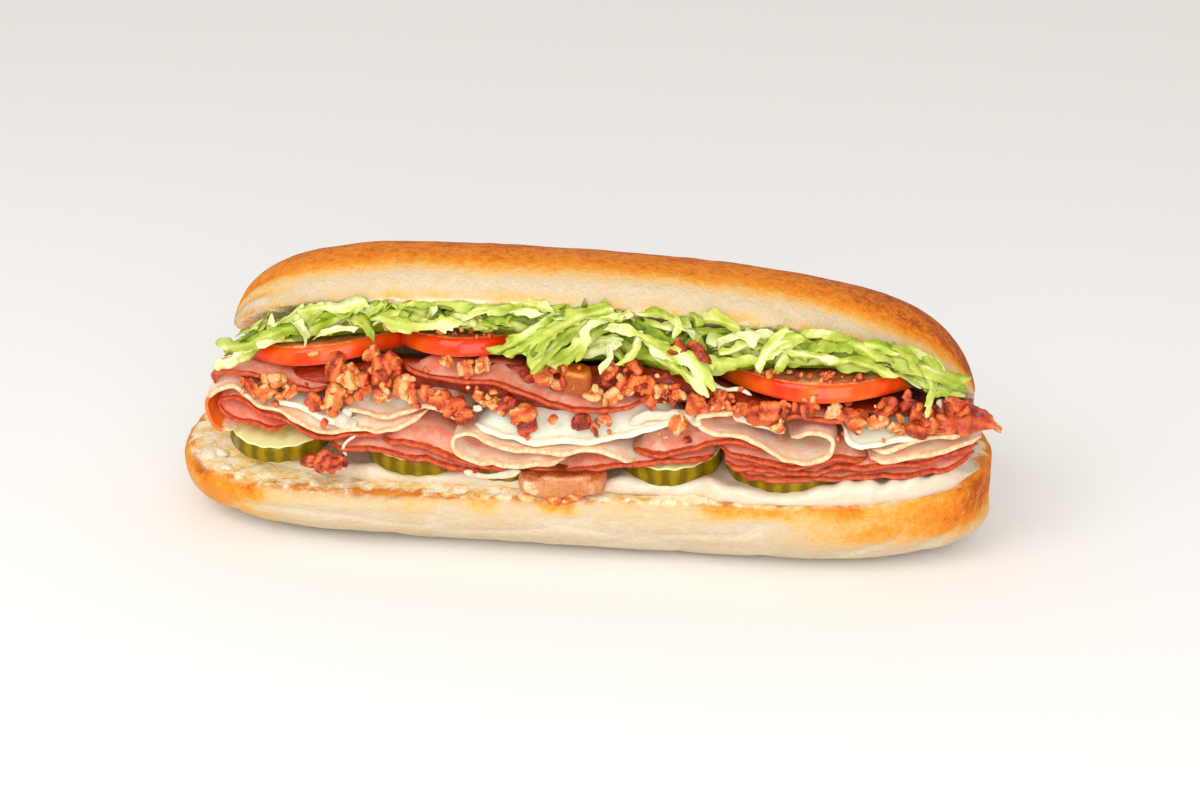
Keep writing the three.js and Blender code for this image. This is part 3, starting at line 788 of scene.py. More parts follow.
@dataclass(frozen=True)
class Roll:
    """A long roll cut almost through and opened about the crust along its back.

    The lid is set off to the right by lid_shift, opened by lid_open radians about the hinge line,
    more to the right by lid_twist, and arched along its length.
    """

    length: float = 275.0
    half_depth: float = 43.0
    rim_height: float = 29.3
    rim_rise: float = 4.7
    cut_slope: float = 0.107
    plan_power: float = 5.4
    section_power: float = 2.6
    flat_foot: float = 1.033
    end_lift: float = 15.3
    lid_length: float = 249.6
    lid_shift: float = 5.95
    lid_depth: float = 41.0
    lid_height: float = 28.7
    lid_rise: float = 1.2
    lid_open: float = 0.636
    lid_twist: float = 0.049
    overhang: float = 4.0
    lid_plan: float = 3.4
    lid_height_plan: float = 7.8
    arch: float = 8.6
    arch_power: float = 2.35
    side_lift: float = 7.1
    lip_curl: float = math.radians(3)
    spring_depth: float = 38.0
    hinge_y: float = 34.0
    hinge_z: float = 33.0
    hinge_reach: float = 0.9
    hinge_half_width: float = 6.0
    hinge_bite: float = 6.0
    rim_radius: float = 4.5
    voxel: float = 1.2
    soften_rounds: int = 7
    stations: int = 220
    arc_points: int = 90
    cut_points: int = 42
    hinge_stations: int = 120
    hinge_points: int = 40

    def cut_height(self, x: Array, y: Array) -> Array:
        """Height of the lower cut face: a plane that rises to the right and to the back."""
        return self.rim_height + self.rim_rise * 2 * x / self.length + math.tan(self.cut_slope) * y

    def lower_half(self) -> Skin:
        """The lower half, a flat-footed superellipse section below the cut face.

        For station s and turn t, depth is the superellipse plan of s, y is depth times the signed
        power of cos t, and z falls from the cut face by the power of sin t, lifted at both ends.
        """
        s = end_stations(self.stations)[:, None]
        arc = np.linspace(math.pi, 2 * math.pi, self.arc_points)
        depth = self.half_depth * plan(s, self.plan_power)
        down = np.abs(np.sin(arc)) ** (2 / self.section_power)
        y = depth * signed_power(np.cos(arc), 2 / self.section_power)
        x = s * self.length / 2 + np.zeros_like(y)
        lift = self.end_lift * (1 - plan(s, 6)) * down
        z = np.maximum(0.0, self.cut_height(x, y) * (1 - self.flat_foot * down) + lift)
        crust = stacked(x, y, z)
        share = np.linspace(0, 1, self.cut_points)[1:-1, None]
        cut = crust[:, -1:] * (1 - share) + crust[:, :1] * share
        return closed_loft(np.concatenate([crust, cut], axis=1))

    def open_lid(self, s: Array, across: Array, height: Array) -> Array:
        """Where a point of the closed lid goes when the lid is opened about the hinge line.

        Across and height turn about the hinge line by the opening angle, and a rise that is full
        a spring depth away from the hinge arches the lid along its length.
        """
        angle = self.lid_open + self.lid_twist * s
        spring = ease(-across, 0, self.spring_depth)
        rise = self.arch * (1 - np.abs(s) ** self.arch_power) - self.side_lift * s
        x = s * self.lid_length / 2 + self.lid_shift + np.zeros_like(across)
        y = self.hinge_y + across * np.cos(angle) + height * np.sin(angle)
        z = self.hinge_z - across * np.sin(angle) + height * np.cos(angle) + rise * spring
        return stacked(x, y, z)

    def lid_top(self, s: Array) -> Array:
        """Height of the lid's dome over its cut face."""
        return (self.lid_height + self.lid_rise * s) * plan(s, self.lid_height_plan)

    def upper_half(self) -> Skin:
        """The lid: at station s a half ellipse that curls in under the lip, closed by its cut face."""
        s = end_stations(self.stations)[:, None]
        arc = np.linspace(-self.lip_curl, math.pi + self.lip_curl, self.arc_points)
        width = self.lid_depth * plan(s, self.lid_plan)
        middle = self.overhang - self.lid_depth
        dome = self.open_lid(s, middle - width * np.cos(arc), self.lid_top(s) * np.sin(arc))
        lip = math.cos(self.lip_curl)
        level = np.linspace(-lip, lip, self.cut_points)[1:-1]
        cut = self.open_lid(s, middle - width * level, -math.sin(self.lip_curl) * self.lid_top(s))
        return closed_loft(np.concatenate([dome, cut], axis=1))

    def hinge_crust(self) -> Skin:
        """The uncut crust: an ellipse carried along the lid's back edge that thins out at both ends."""
        u = end_stations(self.hinge_stations)
        s = u * self.hinge_reach
        across = self.lid_depth * (plan(s, self.lid_plan) - 1) + self.overhang
        edge = self.open_lid(s, across, 0 * s)
        foot = self.cut_height(edge[:, 0], edge[:, 1])
        size = plan(u, 4)
        turn = full_turn(self.hinge_points)
        half = ((edge[:, 2] - foot) / 2 + self.hinge_bite) * size
        y = edge[:, 1, None] - 1 + self.hinge_half_width * size[:, None] * np.cos(turn)
        z = (edge[:, 2, None] + foot[:, None]) / 2 + half[:, None] * np.sin(turn)
        return closed_loft(stacked(edge[:, :1], y, z))

    def lid_coordinates(self, points: Array) -> tuple[Array, Array, Array]:
        """Station, turn and unit up of the closed lid for points of the open one.

        It undoes open_lid: the turn about the hinge line is reversed, and the rise, which depends
        on the distance across, is taken off again four times.

        Args:
            points: (n, 3) positions.

        Returns:
            The station from -1 to 1, the turn from 0 at the lip to pi at the back, and the lid's up.
        """
        s = np.clip((points[:, 0] - self.lid_shift) * 2 / self.lid_length, -1, 1)
        angle = self.lid_open + self.lid_twist * s
        rise = self.arch * (1 - np.abs(s) ** self.arch_power) - self.side_lift * s
        dy = points[:, 1] - self.hinge_y
        dz = points[:, 2] - self.hinge_z
        across = dy * np.cos(angle) - dz * np.sin(angle)
        for _ in range(4):
            level = dz - rise * ease(-across, 0, self.spring_depth)
            across = dy * np.cos(angle) - level * np.sin(angle)
        height = dy * np.sin(angle) + level * np.cos(angle)
        width = self.lid_depth * np.maximum(0.05, plan(s, self.lid_plan))
        cosine = -(across - self.overhang + self.lid_depth) / width
        turn = np.arctan2(height / np.maximum(1.0, self.lid_top(s)), cosine)
        up = stacked(0.0, np.sin(angle), np.cos(angle))
        return s, turn, up

    def baked_mesh(self, kitchen: Kitchen) -> Mesh:
        """The three parts fused into one even mesh, then given its unevenness and its bake values."""
        parts = [self.lower_half(), self.upper_half(), self.hinge_crust()]
        mesh = kitchen.mesh_of("dough", joined(parts))
        dough = bpy.data.objects.new("dough", mesh)
        show(dough)
        fuse = dough.modifiers.new("fuse", "REMESH")
        fuse.mode = "VOXEL"
        fuse.voxel_size = self.voxel * MM
        soften = dough.modifiers.new("soften", "SMOOTH")
        soften.factor = 0.5
        soften.iterations = self.soften_rounds
        evaluated = dough.evaluated_get(bpy.context.evaluated_depsgraph_get())
        fused = bpy.data.meshes.new_from_object(evaluated)
        fused.name = "bread_roll_baked"
        bpy.data.objects.remove(dough)
        self.finish_surface(fused, kitchen.layout)
        return fused

    def edge_distance(self, x: Array, y: Array) -> tuple[Array, Array]:
        """Distance in from the lower half's outline, and the outline's outward direction there.

        The outline is where |2x/L| to the plan power plus (y/half depth) squared is 1; the distance
        is what is left to 1, divided by the length of the slope of that sum.
        """
        s = np.clip(np.abs(2 * x / self.length), 1e-6, 1.2)
        total = s**self.plan_power + (y / self.half_depth) ** 2
        slope_x = self.plan_power * s ** (self.plan_power - 1) * np.sign(x) * 2 / self.length
        slope_y = 2 * y / self.half_depth**2
        steep = np.maximum(1e-4, np.hypot(slope_x, slope_y))
        return (1 - total) / steep, stacked(slope_x / steep, slope_y / steep)

    def rounded_rim(self, points: Array) -> Array:
        """The points with the lower half's sharp rim rounded off to a quarter circle.

        A point within the radius of the rim, down the side or in over the cut face, slides to the
        matching angle of the circle.
        """
        x, y, z = points.T
        inward, direction = self.edge_distance(x, y)
        inward = np.maximum(0.0, inward)
        below = np.maximum(0.0, self.cut_height(x, y) - z)
        radius = self.rim_radius
        over = below < inward
        part = np.clip(1 - np.where(over, inward, below) / radius, 0, 1)
        angle = np.where(over, math.pi / 2 - math.pi / 4 * part, math.pi / 4 * part)
        near = (part > 0) & (np.minimum(inward, below) < radius) & (z < self.cut_height(x, y) + 1.5)
        move_in = np.where(near, radius * (1 - np.cos(angle)) - inward, 0.0)
        move_down = np.where(near, radius * (1 - np.sin(angle)) - below, 0.0)
        share = 1 - ease(np.minimum(inward, below), 0.5, 3.0)
        moved = points.copy()
        moved[:, :2] -= direction * (move_in * share)[:, None]
        moved[:, 2] -= move_down * share
        return moved

    def crust_points(self, points: Array, normals: Array) -> "CrustPoints":
        """Works out for each point which half it is on, where on it, and whether it is crumb."""
        x, y, z = points.T
        cut = self.cut_height(x, y)
        edge, _ = self.edge_distance(x, y)
        base_up = np.array([0, -math.sin(self.cut_slope), math.cos(self.cut_slope)])
        s, turn, lid_up = self.lid_coordinates(points)
        on_base = ease(cut + 2.0 - z, 0.0, 1.5)
        base_crumb = ease(normals @ base_up, 0.72, 0.9) * ease(z - cut, -2.6, -1.2) * on_base
        lid_crumb = ease(-np.sum(normals * lid_up, axis=1), 0.45, 0.8) * (1 - on_base)
        crumb = np.maximum(base_crumb, lid_crumb)
        return CrustPoints(points, on_base, crumb, np.clip(cut - z, 0, None), edge, s, turn)

    def finish_surface(self, mesh: Mesh, layout: Layout) -> None:
        """Rounds the rim, moves each point along its normal by the relief, and stores its looks.

        Args:
            mesh: the fused roll, in metres.
            layout: where the roll's own frame lies.
        """
        flat = np.empty(len(mesh.vertices) * 3, np.float32)
        mesh.vertices.foreach_get("co", flat)
        points = self.rounded_rim(flat.reshape(-1, 3) / MM - np.array(layout.shift))
        mesh.vertices.foreach_set("co", layout.metres(points).astype(np.float32).ravel())
        mesh.update()
        mesh.vertices.foreach_get("normal", flat)
        normals = flat.reshape(-1, 3).astype(float)
        crust = self.crust_points(points, normals)
        foot = ease(points[:, 2], 0.0, 1.0)
        moved = points + normals * (crust.relief() * foot)[:, None]
        moved[:, 2] = np.maximum(moved[:, 2], 0.0)
        mesh.vertices.foreach_set("co", layout.metres(moved).astype(np.float32).ravel())
        looks = {"bake": crust.bake(), "crumb": crust.crumb, "toast": crust.toast()}
        shade(mesh, {name: np.clip(value, 0, 1) for name, value in looks.items()})

    def build(self, kitchen: Kitchen) -> None:
        """Bakes the roll and puts it in the scene."""
        mesh = self.baked_mesh(kitchen)
        kitchen.serve("bread_roll_baked", mesh, BreadFinish().material(), ("bread_roll",))


# ---- where the fillings lie


@dataclass(frozen=True)
class Fan:
    """The fillings' front face, and the line deep in the mouth that they fan out from."""

    y: float = 34.0
    z: float = 46.0
    low_y: float = -38.0
    low_z: float = 28.0
    lean: float = 11 / 56
    half_length: float = 140.0
    power: float = 6.0

    def face_y(self, x: Array, z: Array) -> Array:
        """Depth of the front face: it leans back with height and rounds away towards both ends."""
        y = self.low_y + (z - self.low_z) * self.lean
        return y * plan(np.minimum(1.0, np.abs(x) / self.half_length), self.power)

    def point(self, x: Array, z: Array, out: Array | float = 0.0, scale: Array | float = 1.0) -> Array:
        """The point on the fan line through (x, z) of the face, out past it or scaled back from it."""
        dy = self.face_y(x, z) - self.y
        dz = z - self.z
        reach = np.hypot(dy, dz)
        factor = (reach + out) / reach * scale
        return stacked(x, self.y + dy * factor, self.z + dz * factor)


FAN = Fan()
ROLL = Roll()


@dataclass(frozen=True)
class Mayonnaise:
    """A layer on the lower cut face with a wandering edge, squeezed out in soft heaps."""

    left: float = -112.0
    right: float = 132.5
    stations: int = 520
    thickness: float = 3.0
    back_y: float = 14.0
    front: Line = (
        (-112, -18), (-104, -23), (-95, -26), (-75, -28.5), (-62, -32), (-50, -34.5), (-20, -34),
        (0, -35), (20, -36), (40, -37), (60, -38.5), (80, -41), (88, -41.5), (95, -41), (104, -39),
        (112, -36), (131, -38),
    )
    heaps: tuple[Triple, ...] = (
        (-78, 1.8, 6), (-64, 2.2, 7), (-46, 1.2, 8), (-30, 2.0, 6), (20, 2.2, 5), (48, 2.8, 6),
        (60, 1.6, 6), (84, 1.8, 4), (91, 3.6, 3.6), (98.5, 4.6, 4.2), (106, 3.6, 3), (112, 3.8, 3.4),
        (122, 3.2, 6),
    )

    def layer(self) -> Skin:
        """Rings across the layer: flat underneath, a rounded front edge, then down to the back.

        The front edge wanders by noise, and the height at the front is the thickness plus a bell
        for each heap plus lumps, fading backwards.
        """
        x = np.linspace(self.left, self.right, self.stations)[:, None]
        noise = Noise(11)
        width = plan(x / (ROLL.length / 2), ROLL.plan_power)
        ends = ease(x - self.left, 0, 9) * ease(self.right - x, 0, 8)
        flat = np.concatenate([x, 0 * x, 0 * x], axis=1)
        wander = 1.5 * noise.layered(flat, 11.0, 3)[:, None]
        heap = sum(height * bump_at(x, at, spread) for at, height, spread in self.heaps)
        front = np.maximum(line_height(self.front, x) - wander - 0.3 * heap, 1.5 - ROLL.half_depth * width)
        full = self.thickness * (0.4 + 0.6 * ends) + heap + 0.5 * noise.at(flat + 40, 11.0)[:, None]
        profile = np.array([
            (6.0, -0.3), (2.0, -0.3), (0.3, -0.1), (-0.35, 0.2), (-0.5, 0.45), (-0.3, 0.7), (0.3, 0.9),
            (1.2, 1.0), (2.4, 1.0), (4.0, 0.93), (6.0, 0.8), (8.5, 0.7), (12.0, 0.62), (18.0, 0.6),
            (26.0, 0.6), (36.0, 0.6), (48.0, 0.6),
        ])
        inset, level = profile.T
        y = np.minimum(front + inset * (0.35 + 0.65 * ends), self.back_y * width)
        middle = y.mean(axis=1, keepdims=True)
        y = middle + (y - middle) * np.sqrt(0.02 + 0.98 * ends)
        lumps = 0.8 * noise.layered(stacked(x, y, 0.0) + 7, 9.0, 2) * ease(level, 0.3, 0.9)
        z = ROLL.cut_height(x, y) + full * level * (0.1 + 0.9 * ends) + lumps * ends
        return closed_loft(stacked(x, y, z))

    def blob(self, x: float, y: float, radius: float, height: float, seed: int) -> Skin:
        """A soft drop on the cut face: a dome whose radius wanders round it."""
        turn = full_turn(48)
        level = np.linspace(0.02, 0.98, 14)[:, None]
        wander = 1 + 0.18 * np.sin(3 * turn + seed) + 0.1 * np.sin(5 * turn + 2 * seed)
        reach = radius * np.sin(level * math.pi * 0.5) ** 0.8 * wander
        px = x + reach * np.cos(turn)
        py = y + 0.75 * reach * np.sin(turn)
        pz = ROLL.cut_height(px, py) + height * np.cos(level * math.pi * 0.5) - 0.4 * level
        return closed_loft(stacked(px, py, pz))

    def build(self, kitchen: Kitchen) -> None:
        """Spreads the layer and two drops left of it."""
        skins = [self.layer(), self.blob(-123.5, -18, 4.4, 2.6, 1), self.blob(-116, -27, 2.2, 1.3, 4)]
        material = SauceFinish().material()
        kitchen.serve("mayonnaise_spread", joined(skins), material, ("mayonnaise",))


@dataclass(frozen=True)
class Drips:
    """Thin runs of sauce over the fillings, each a half thickness and a line on the front face."""

    runs: tuple[tuple[float, Line], ...] = (
        (2.1, ((-79, 51.4), (-76, 47), (-71, 43.4))),
        (1.7, ((-71.6, 49.6), (-73, 46), (-69, 43.6))),
        (0.45, ((-69, 41), (-72.4, 38.6), (-73.4, 36.4), (-72, 34.2))),
        (1.1, ((-30.6, 52.4), (-28.8, 51.8), (-27.4, 52.8))),
        (1.7, ((21, 49.6), (27, 53), (33, 53), (39.6, 53.6), (44, 50.4))),
        (1.3, ((39, 54.4), (44.5, 55.6), (50, 57.4))),
        (1.6, ((54, 55), (60, 53), (66, 52), (71, 49.8))),
        (0.8, ((46, 65), (51, 62.4), (56, 62.8), (60, 61))),
        (1.2, ((118.6, 60.4), (120.6, 58), (121.2, 55.6))),
        (1.2, ((-33, 31.6), (-26, 30.4), (-19, 31.4), (-14, 32.8))),
    )

    def run(self, half: float, line: Line, kitchen: Kitchen, seed: int) -> Skin:
        """A flattened circle carried along the line where it lies on the fillings.

        The circle's radius wanders by noise and goes to nothing at both ends by a square root.
        """
        curve = smooth_curve(np.array(line, float), 0.5)
        size = np.full(len(curve), half)
        path, _ = kitchen.first_met(FAN.point(curve[:, 0], curve[:, 1], 1.0), size)
        for _ in range(3):
            path[1:-1] = (path[:-2] + path[1:-1] + path[2:]) / 3
        along = np.linspace(0, 1, len(path))
        tangent = unit(np.gradient(path, axis=0))
        side = unit(np.cross(tangent, np.array(SIGHT)))
        up = np.cross(side, tangent)
        wander = 1 + 0.3 * Noise(seed).layered(path, 5.0, 2)
        size = size * wander * np.sqrt(ease(np.minimum(along, 1 - along), -0.01, 0.12))
        turn = full_turn(18)[:, None]
        rings = side[:, None, :] * np.cos(turn) + 0.45 * up[:, None, :] * np.sin(turn)
        return closed_loft(path[:, None, :] + size[:, None, None] * rings)

    def build(self, kitchen: Kitchen) -> None:
        """Runs the sauce over the fillings."""
        skins = [self.run(half, line, kitchen, 40 + k) for k, (half, line) in enumerate(self.runs)]
        material = SauceFinish("sauce").material()
        kitchen.serve("sauce_runs", joined(skins), material, lies_under=False)


@dataclass(frozen=True)
class PickleChip:
    """One crinkle-cut chip: where it lies, its size and its tilt."""

    x: float
    radius: float
    thickness: float
    front: float
    lift: float
    pitch: float
    roll: float


@dataclass(frozen=True)
class Pickles:
    """Crinkle-cut chips lying on the mayonnaise."""

    wave_length: float = 5.4
    wave_height: float = 0.3
    flute: float = 0.2
    edge: float = 0.9
    chips: tuple[PickleChip, ...] = (
        PickleChip(-98.5, 17.5, 5.6, -35, 6.6, 0.07, 0.01),
        PickleChip(-51, 18, 5.8, -37.5, 4.4, 0, -0.04),
        PickleChip(-21, 12, 4.8, -37, 2.9, 0, 0),
        PickleChip(33.2, 16, 6.2, -37.5, 3, 0, 0.05),
        PickleChip(72, 21.6, 5.8, -38.5, 1, 0, 0),
    )

    def chip(self, size: PickleChip, seed: int) -> Skin:
        """A disc whose profile from mid top round the skin to mid underside is turned about its axis.

        Both faces carry one wave along X, the skin is rounded over its edges, and shallow flutes run up and
        down it, with painted light and shade in step with them.
        """
        turn = full_turn(220)
        half = size.thickness / 2
        radii, level = disc_profile(size.radius, self.edge, (14, 15), 0.97, (1.0, 0.55))
        level = level * half
        noise = Noise(20 + seed)
        rim = ease(radii, size.radius - 1.6, size.radius - 0.2)[:, None]
        wobble = 0.5 * noise.at(stacked(np.cos(turn), np.sin(turn), 0.0) * 9, 8.0)
        phase = size.radius * np.cos(turn) * 2 * math.pi / self.wave_length
        reach = radii[:, None] + rim * (self.flute * np.cos(phase) + wobble)
        dx = reach * np.cos(turn)
        dy = reach * np.sin(turn)
        wave = self.wave_height * np.cos(2 * math.pi * dx / self.wave_length)
        y = size.front + size.radius + dy
        foot = ROLL.cut_height(size.x, y) + size.lift + half + size.pitch * (y - size.front)
        z = foot + level[:, None] + wave + size.roll * dx
        skin = ease(radii, size.radius - 1.1, size.radius - 0.3)
        skin = (skin * (1 - 0.9 * ease(np.abs(level), 0.86 * half, half)))[:, None]
        # The rib value runs in step with the flutes: light and dark bands of painted light and shade.
        ribs = 0.5 + 0.5 * np.cos(phase + math.pi)
        values = {"skin": skin, "rib": ribs, "radius": radii[:, None] / size.radius}
        return closed_loft(stacked(size.x + dx, y, z), values)

    def build(self, kitchen: Kitchen) -> None:
        """Lays out the chips."""
        material = PickleFinish().material()
        for k, size in enumerate(self.chips, start=1):
            kitchen.serve(f"pickle_chip_{k}", self.chip(size, k), material, (f"pickle_{k}",))


@dataclass(frozen=True)
class TomatoSlice:
    """One slice: its middle on the front face, its radius, how it rises to the right and stands out."""

    x: float
    z: float
    radius: float
    rise: float
    out: float


@dataclass(frozen=True)
class Tomatoes:
    """Round slices in the fan whose fronts sag, none nearer the fan line than back_reach."""

    thickness: float = 6.4
    edge: float = 1.5
    droop: float = 4.0
    front_drop: float = 1.7
    droop_depth: float = 20.0
    back_reach: float = 17.0
    slices: tuple[TomatoSlice, ...] = (
        TomatoSlice(-84, 67, 30, 0.15, 1.5),
        TomatoSlice(-36, 72.6, 23.5, 0.03, 0.5),
        TomatoSlice(80.5, 64, 36, 0.01, 3),
    )

    def disc(self, size: TomatoSlice, seed: int) -> Skin:
        """A disc turned from its edge profile, then laid along the fan lines.

        A point at distance d out along its fan line is moved up by its level, thinned towards the
        back, and lowered at the front by the sag, which grows with the square of the depth.
        """
        turn = full_turn(260)
        half = self.thickness / 2
        profile = disc_profile(size.radius, self.edge, (18, 17), 0.985, (0.7, 0.8))
        radii, level = (line[:, None] for line in profile)
        noise = Noise(30 + seed)
        wobble = noise.at(stacked(np.cos(turn), np.sin(turn), 0.0) * 7, 7.0)
        radii = radii * (1 + 0.012 * wobble)
        dx = radii * np.cos(turn)
        x = size.x + dx
        face = FAN.point(np.array(size.x), np.array(size.z))
        reach = np.linalg.norm(face - (size.x, FAN.y, FAN.z)) + size.out
        root = stacked(x, FAN.y, FAN.z)
        along = unit(FAN.point(x, size.z + size.rise * dx) - root)
        up = stacked(0.0, along[..., 2], -along[..., 1])
        distance = np.maximum(self.back_reach, reach - size.radius - radii * np.sin(turn))
        thin = half * (0.4 + 0.6 * distance / reach)
        sag = self.droop * np.maximum(0, 1 - (reach - distance) / self.droop_depth) ** 2
        flat = stacked(dx, distance, 0.0)
        dents = 0.25 * noise.layered(flat, 6.0, 2) * (np.abs(level) > 0.99)
        lift = level * thin + self.droop - self.front_drop - sag + dents
        points = root + along * distance[..., None] + up * lift[..., None]
        skin = (1 - ease(np.abs(level), 0.8, 1.0)) * ease(radii, size.radius - 2.4, size.radius - 0.9)
        return closed_loft(points, {"skin": skin})

    def build(self, kitchen: Kitchen) -> None:
        """Lays out the slices."""
        material = TomatoFinish().material()
        for k, size in enumerate(self.slices, start=1):
            skin = self.disc(size, k)
            kitchen.serve(f"tomato_slice_{k}", skin, material, (f"tomato_{k}",))


class Cut(Enum):
    """The kinds of thin slice, each a slot and a thickness."""

    HAM = ("ham", 1.4)
    TURKEY = ("turkey", 1.5)
    CHEESE = ("cheese", 1.9)

    @property
    def slot(self) -> str:
        """The material slot."""
        return self.value[0]

    @property
    def thickness(self) -> float:
        """The slice's thickness."""
        return self.value[1]


@dataclass(frozen=True)
class FoldedSlice:
    """A thin slice, given by its folded front edge as [x, z] on the front face, left to right.

    Drape is how far the slice rises just behind its front edge, so that its face shows.
    """

    name: str
    cut: Cut
    out: float
    drape: float
    edge: Line
    back_scale: float = 0.34
    drape_depth: float = 0.15
    back_points: int = 26
    rim_points: int = 9

    def skin(self, seed: int) -> Skin:
        """The front edge drawn back along the fan lines, with a rounded, slightly ruffled rim.

        Rings run along the fold. Each goes over the top from back to front, round the rim and back
        underneath. The ruffle moves the rim in and out and the whole edge a little up and down,
        and the drape lifts everything behind the rim by a smooth step. Behind the front, X is drawn
        in towards the middle of the roll. The left end of the turkey has a smoked rim, marked by a
        rim value above 3.

        Args:
            seed: starts the noise.

        Returns:
            The slice's surface, with its rim value.
        """
        curve = smooth_curve(np.array(self.edge, float), 0.9)
        tangent = unit(np.gradient(curve, axis=0))
        normal = np.stack([-tangent[:, 1], tangent[:, 0]], axis=1)
        noise = Noise(50 + seed)
        along = np.linspace(0, 1, len(curve))
        path = stacked(*curve.T, 0.0)
        sway = 0.7 * noise.at(path, 8.0) + 0.4 * noise.at(path + 30, 3.6)
        curve = curve + normal * sway[:, None]
        end_gap = np.minimum(along, 1 - along) * 0.9 * len(curve)
        ruffle = 1.1 * noise.layered(path + 3, 7.0, 3) - 3.0 * (1 - ease(end_gap, 0, 5.0)) ** 2
        taper = 0.5 + 0.5 * ease(np.minimum(along, 1 - along) * len(curve), 0, 2.5)
        half = self.cut.thickness / 2 * (1 + 0.25 * noise.at(path + 60, 6.0)) * taper
        bend = np.linspace(math.pi / 2, -math.pi / 2, self.rim_points)
        back = np.linspace(0, 1, self.back_points) ** 0.6
        back = self.back_scale + (0.99 - self.back_scale) * back
        scale = np.concatenate([back, np.ones(self.rim_points), back[::-1]])
        side = np.concatenate([0 * back + 1, np.sin(bend), 0 * back - 1])
        nose = np.concatenate([0 * back, np.cos(bend), 0 * back])
        x = curve[:, :1] + normal[:, :1] * half[:, None] * side
        z = curve[:, 1:] + normal[:, 1:] * half[:, None] * side
        front = ease(scale, 0.8, 1.0)
        stand = (self.out + ruffle)[:, None] * front + nose * half[:, None]
        wave = 0.6 * noise.at(stacked(x, 60 * scale, z), 9.0)
        wave = wave * (1 - ease(scale, 0.95, 1.0))
        rise = self.drape * ease(1 - scale, 0.0, self.drape_depth)
        rise = rise * ease(np.minimum(along, 1 - along), 0, 0.12)[:, None]
        inward = 1 - 0.15 * ease(1 - scale, 0.1, 0.6)
        points = FAN.point(x, z + wave + rise, stand, scale)
        points[..., 0] *= inward
        rim = ease(scale, 0.972, 0.995)
        smoke = ease(-points[..., 0], 113, 118) * (1 - ease(points[..., 2], 46, 50))
        return closed_loft(points, {"rim": rim + 4 * smoke * (self.cut is Cut.TURKEY)})


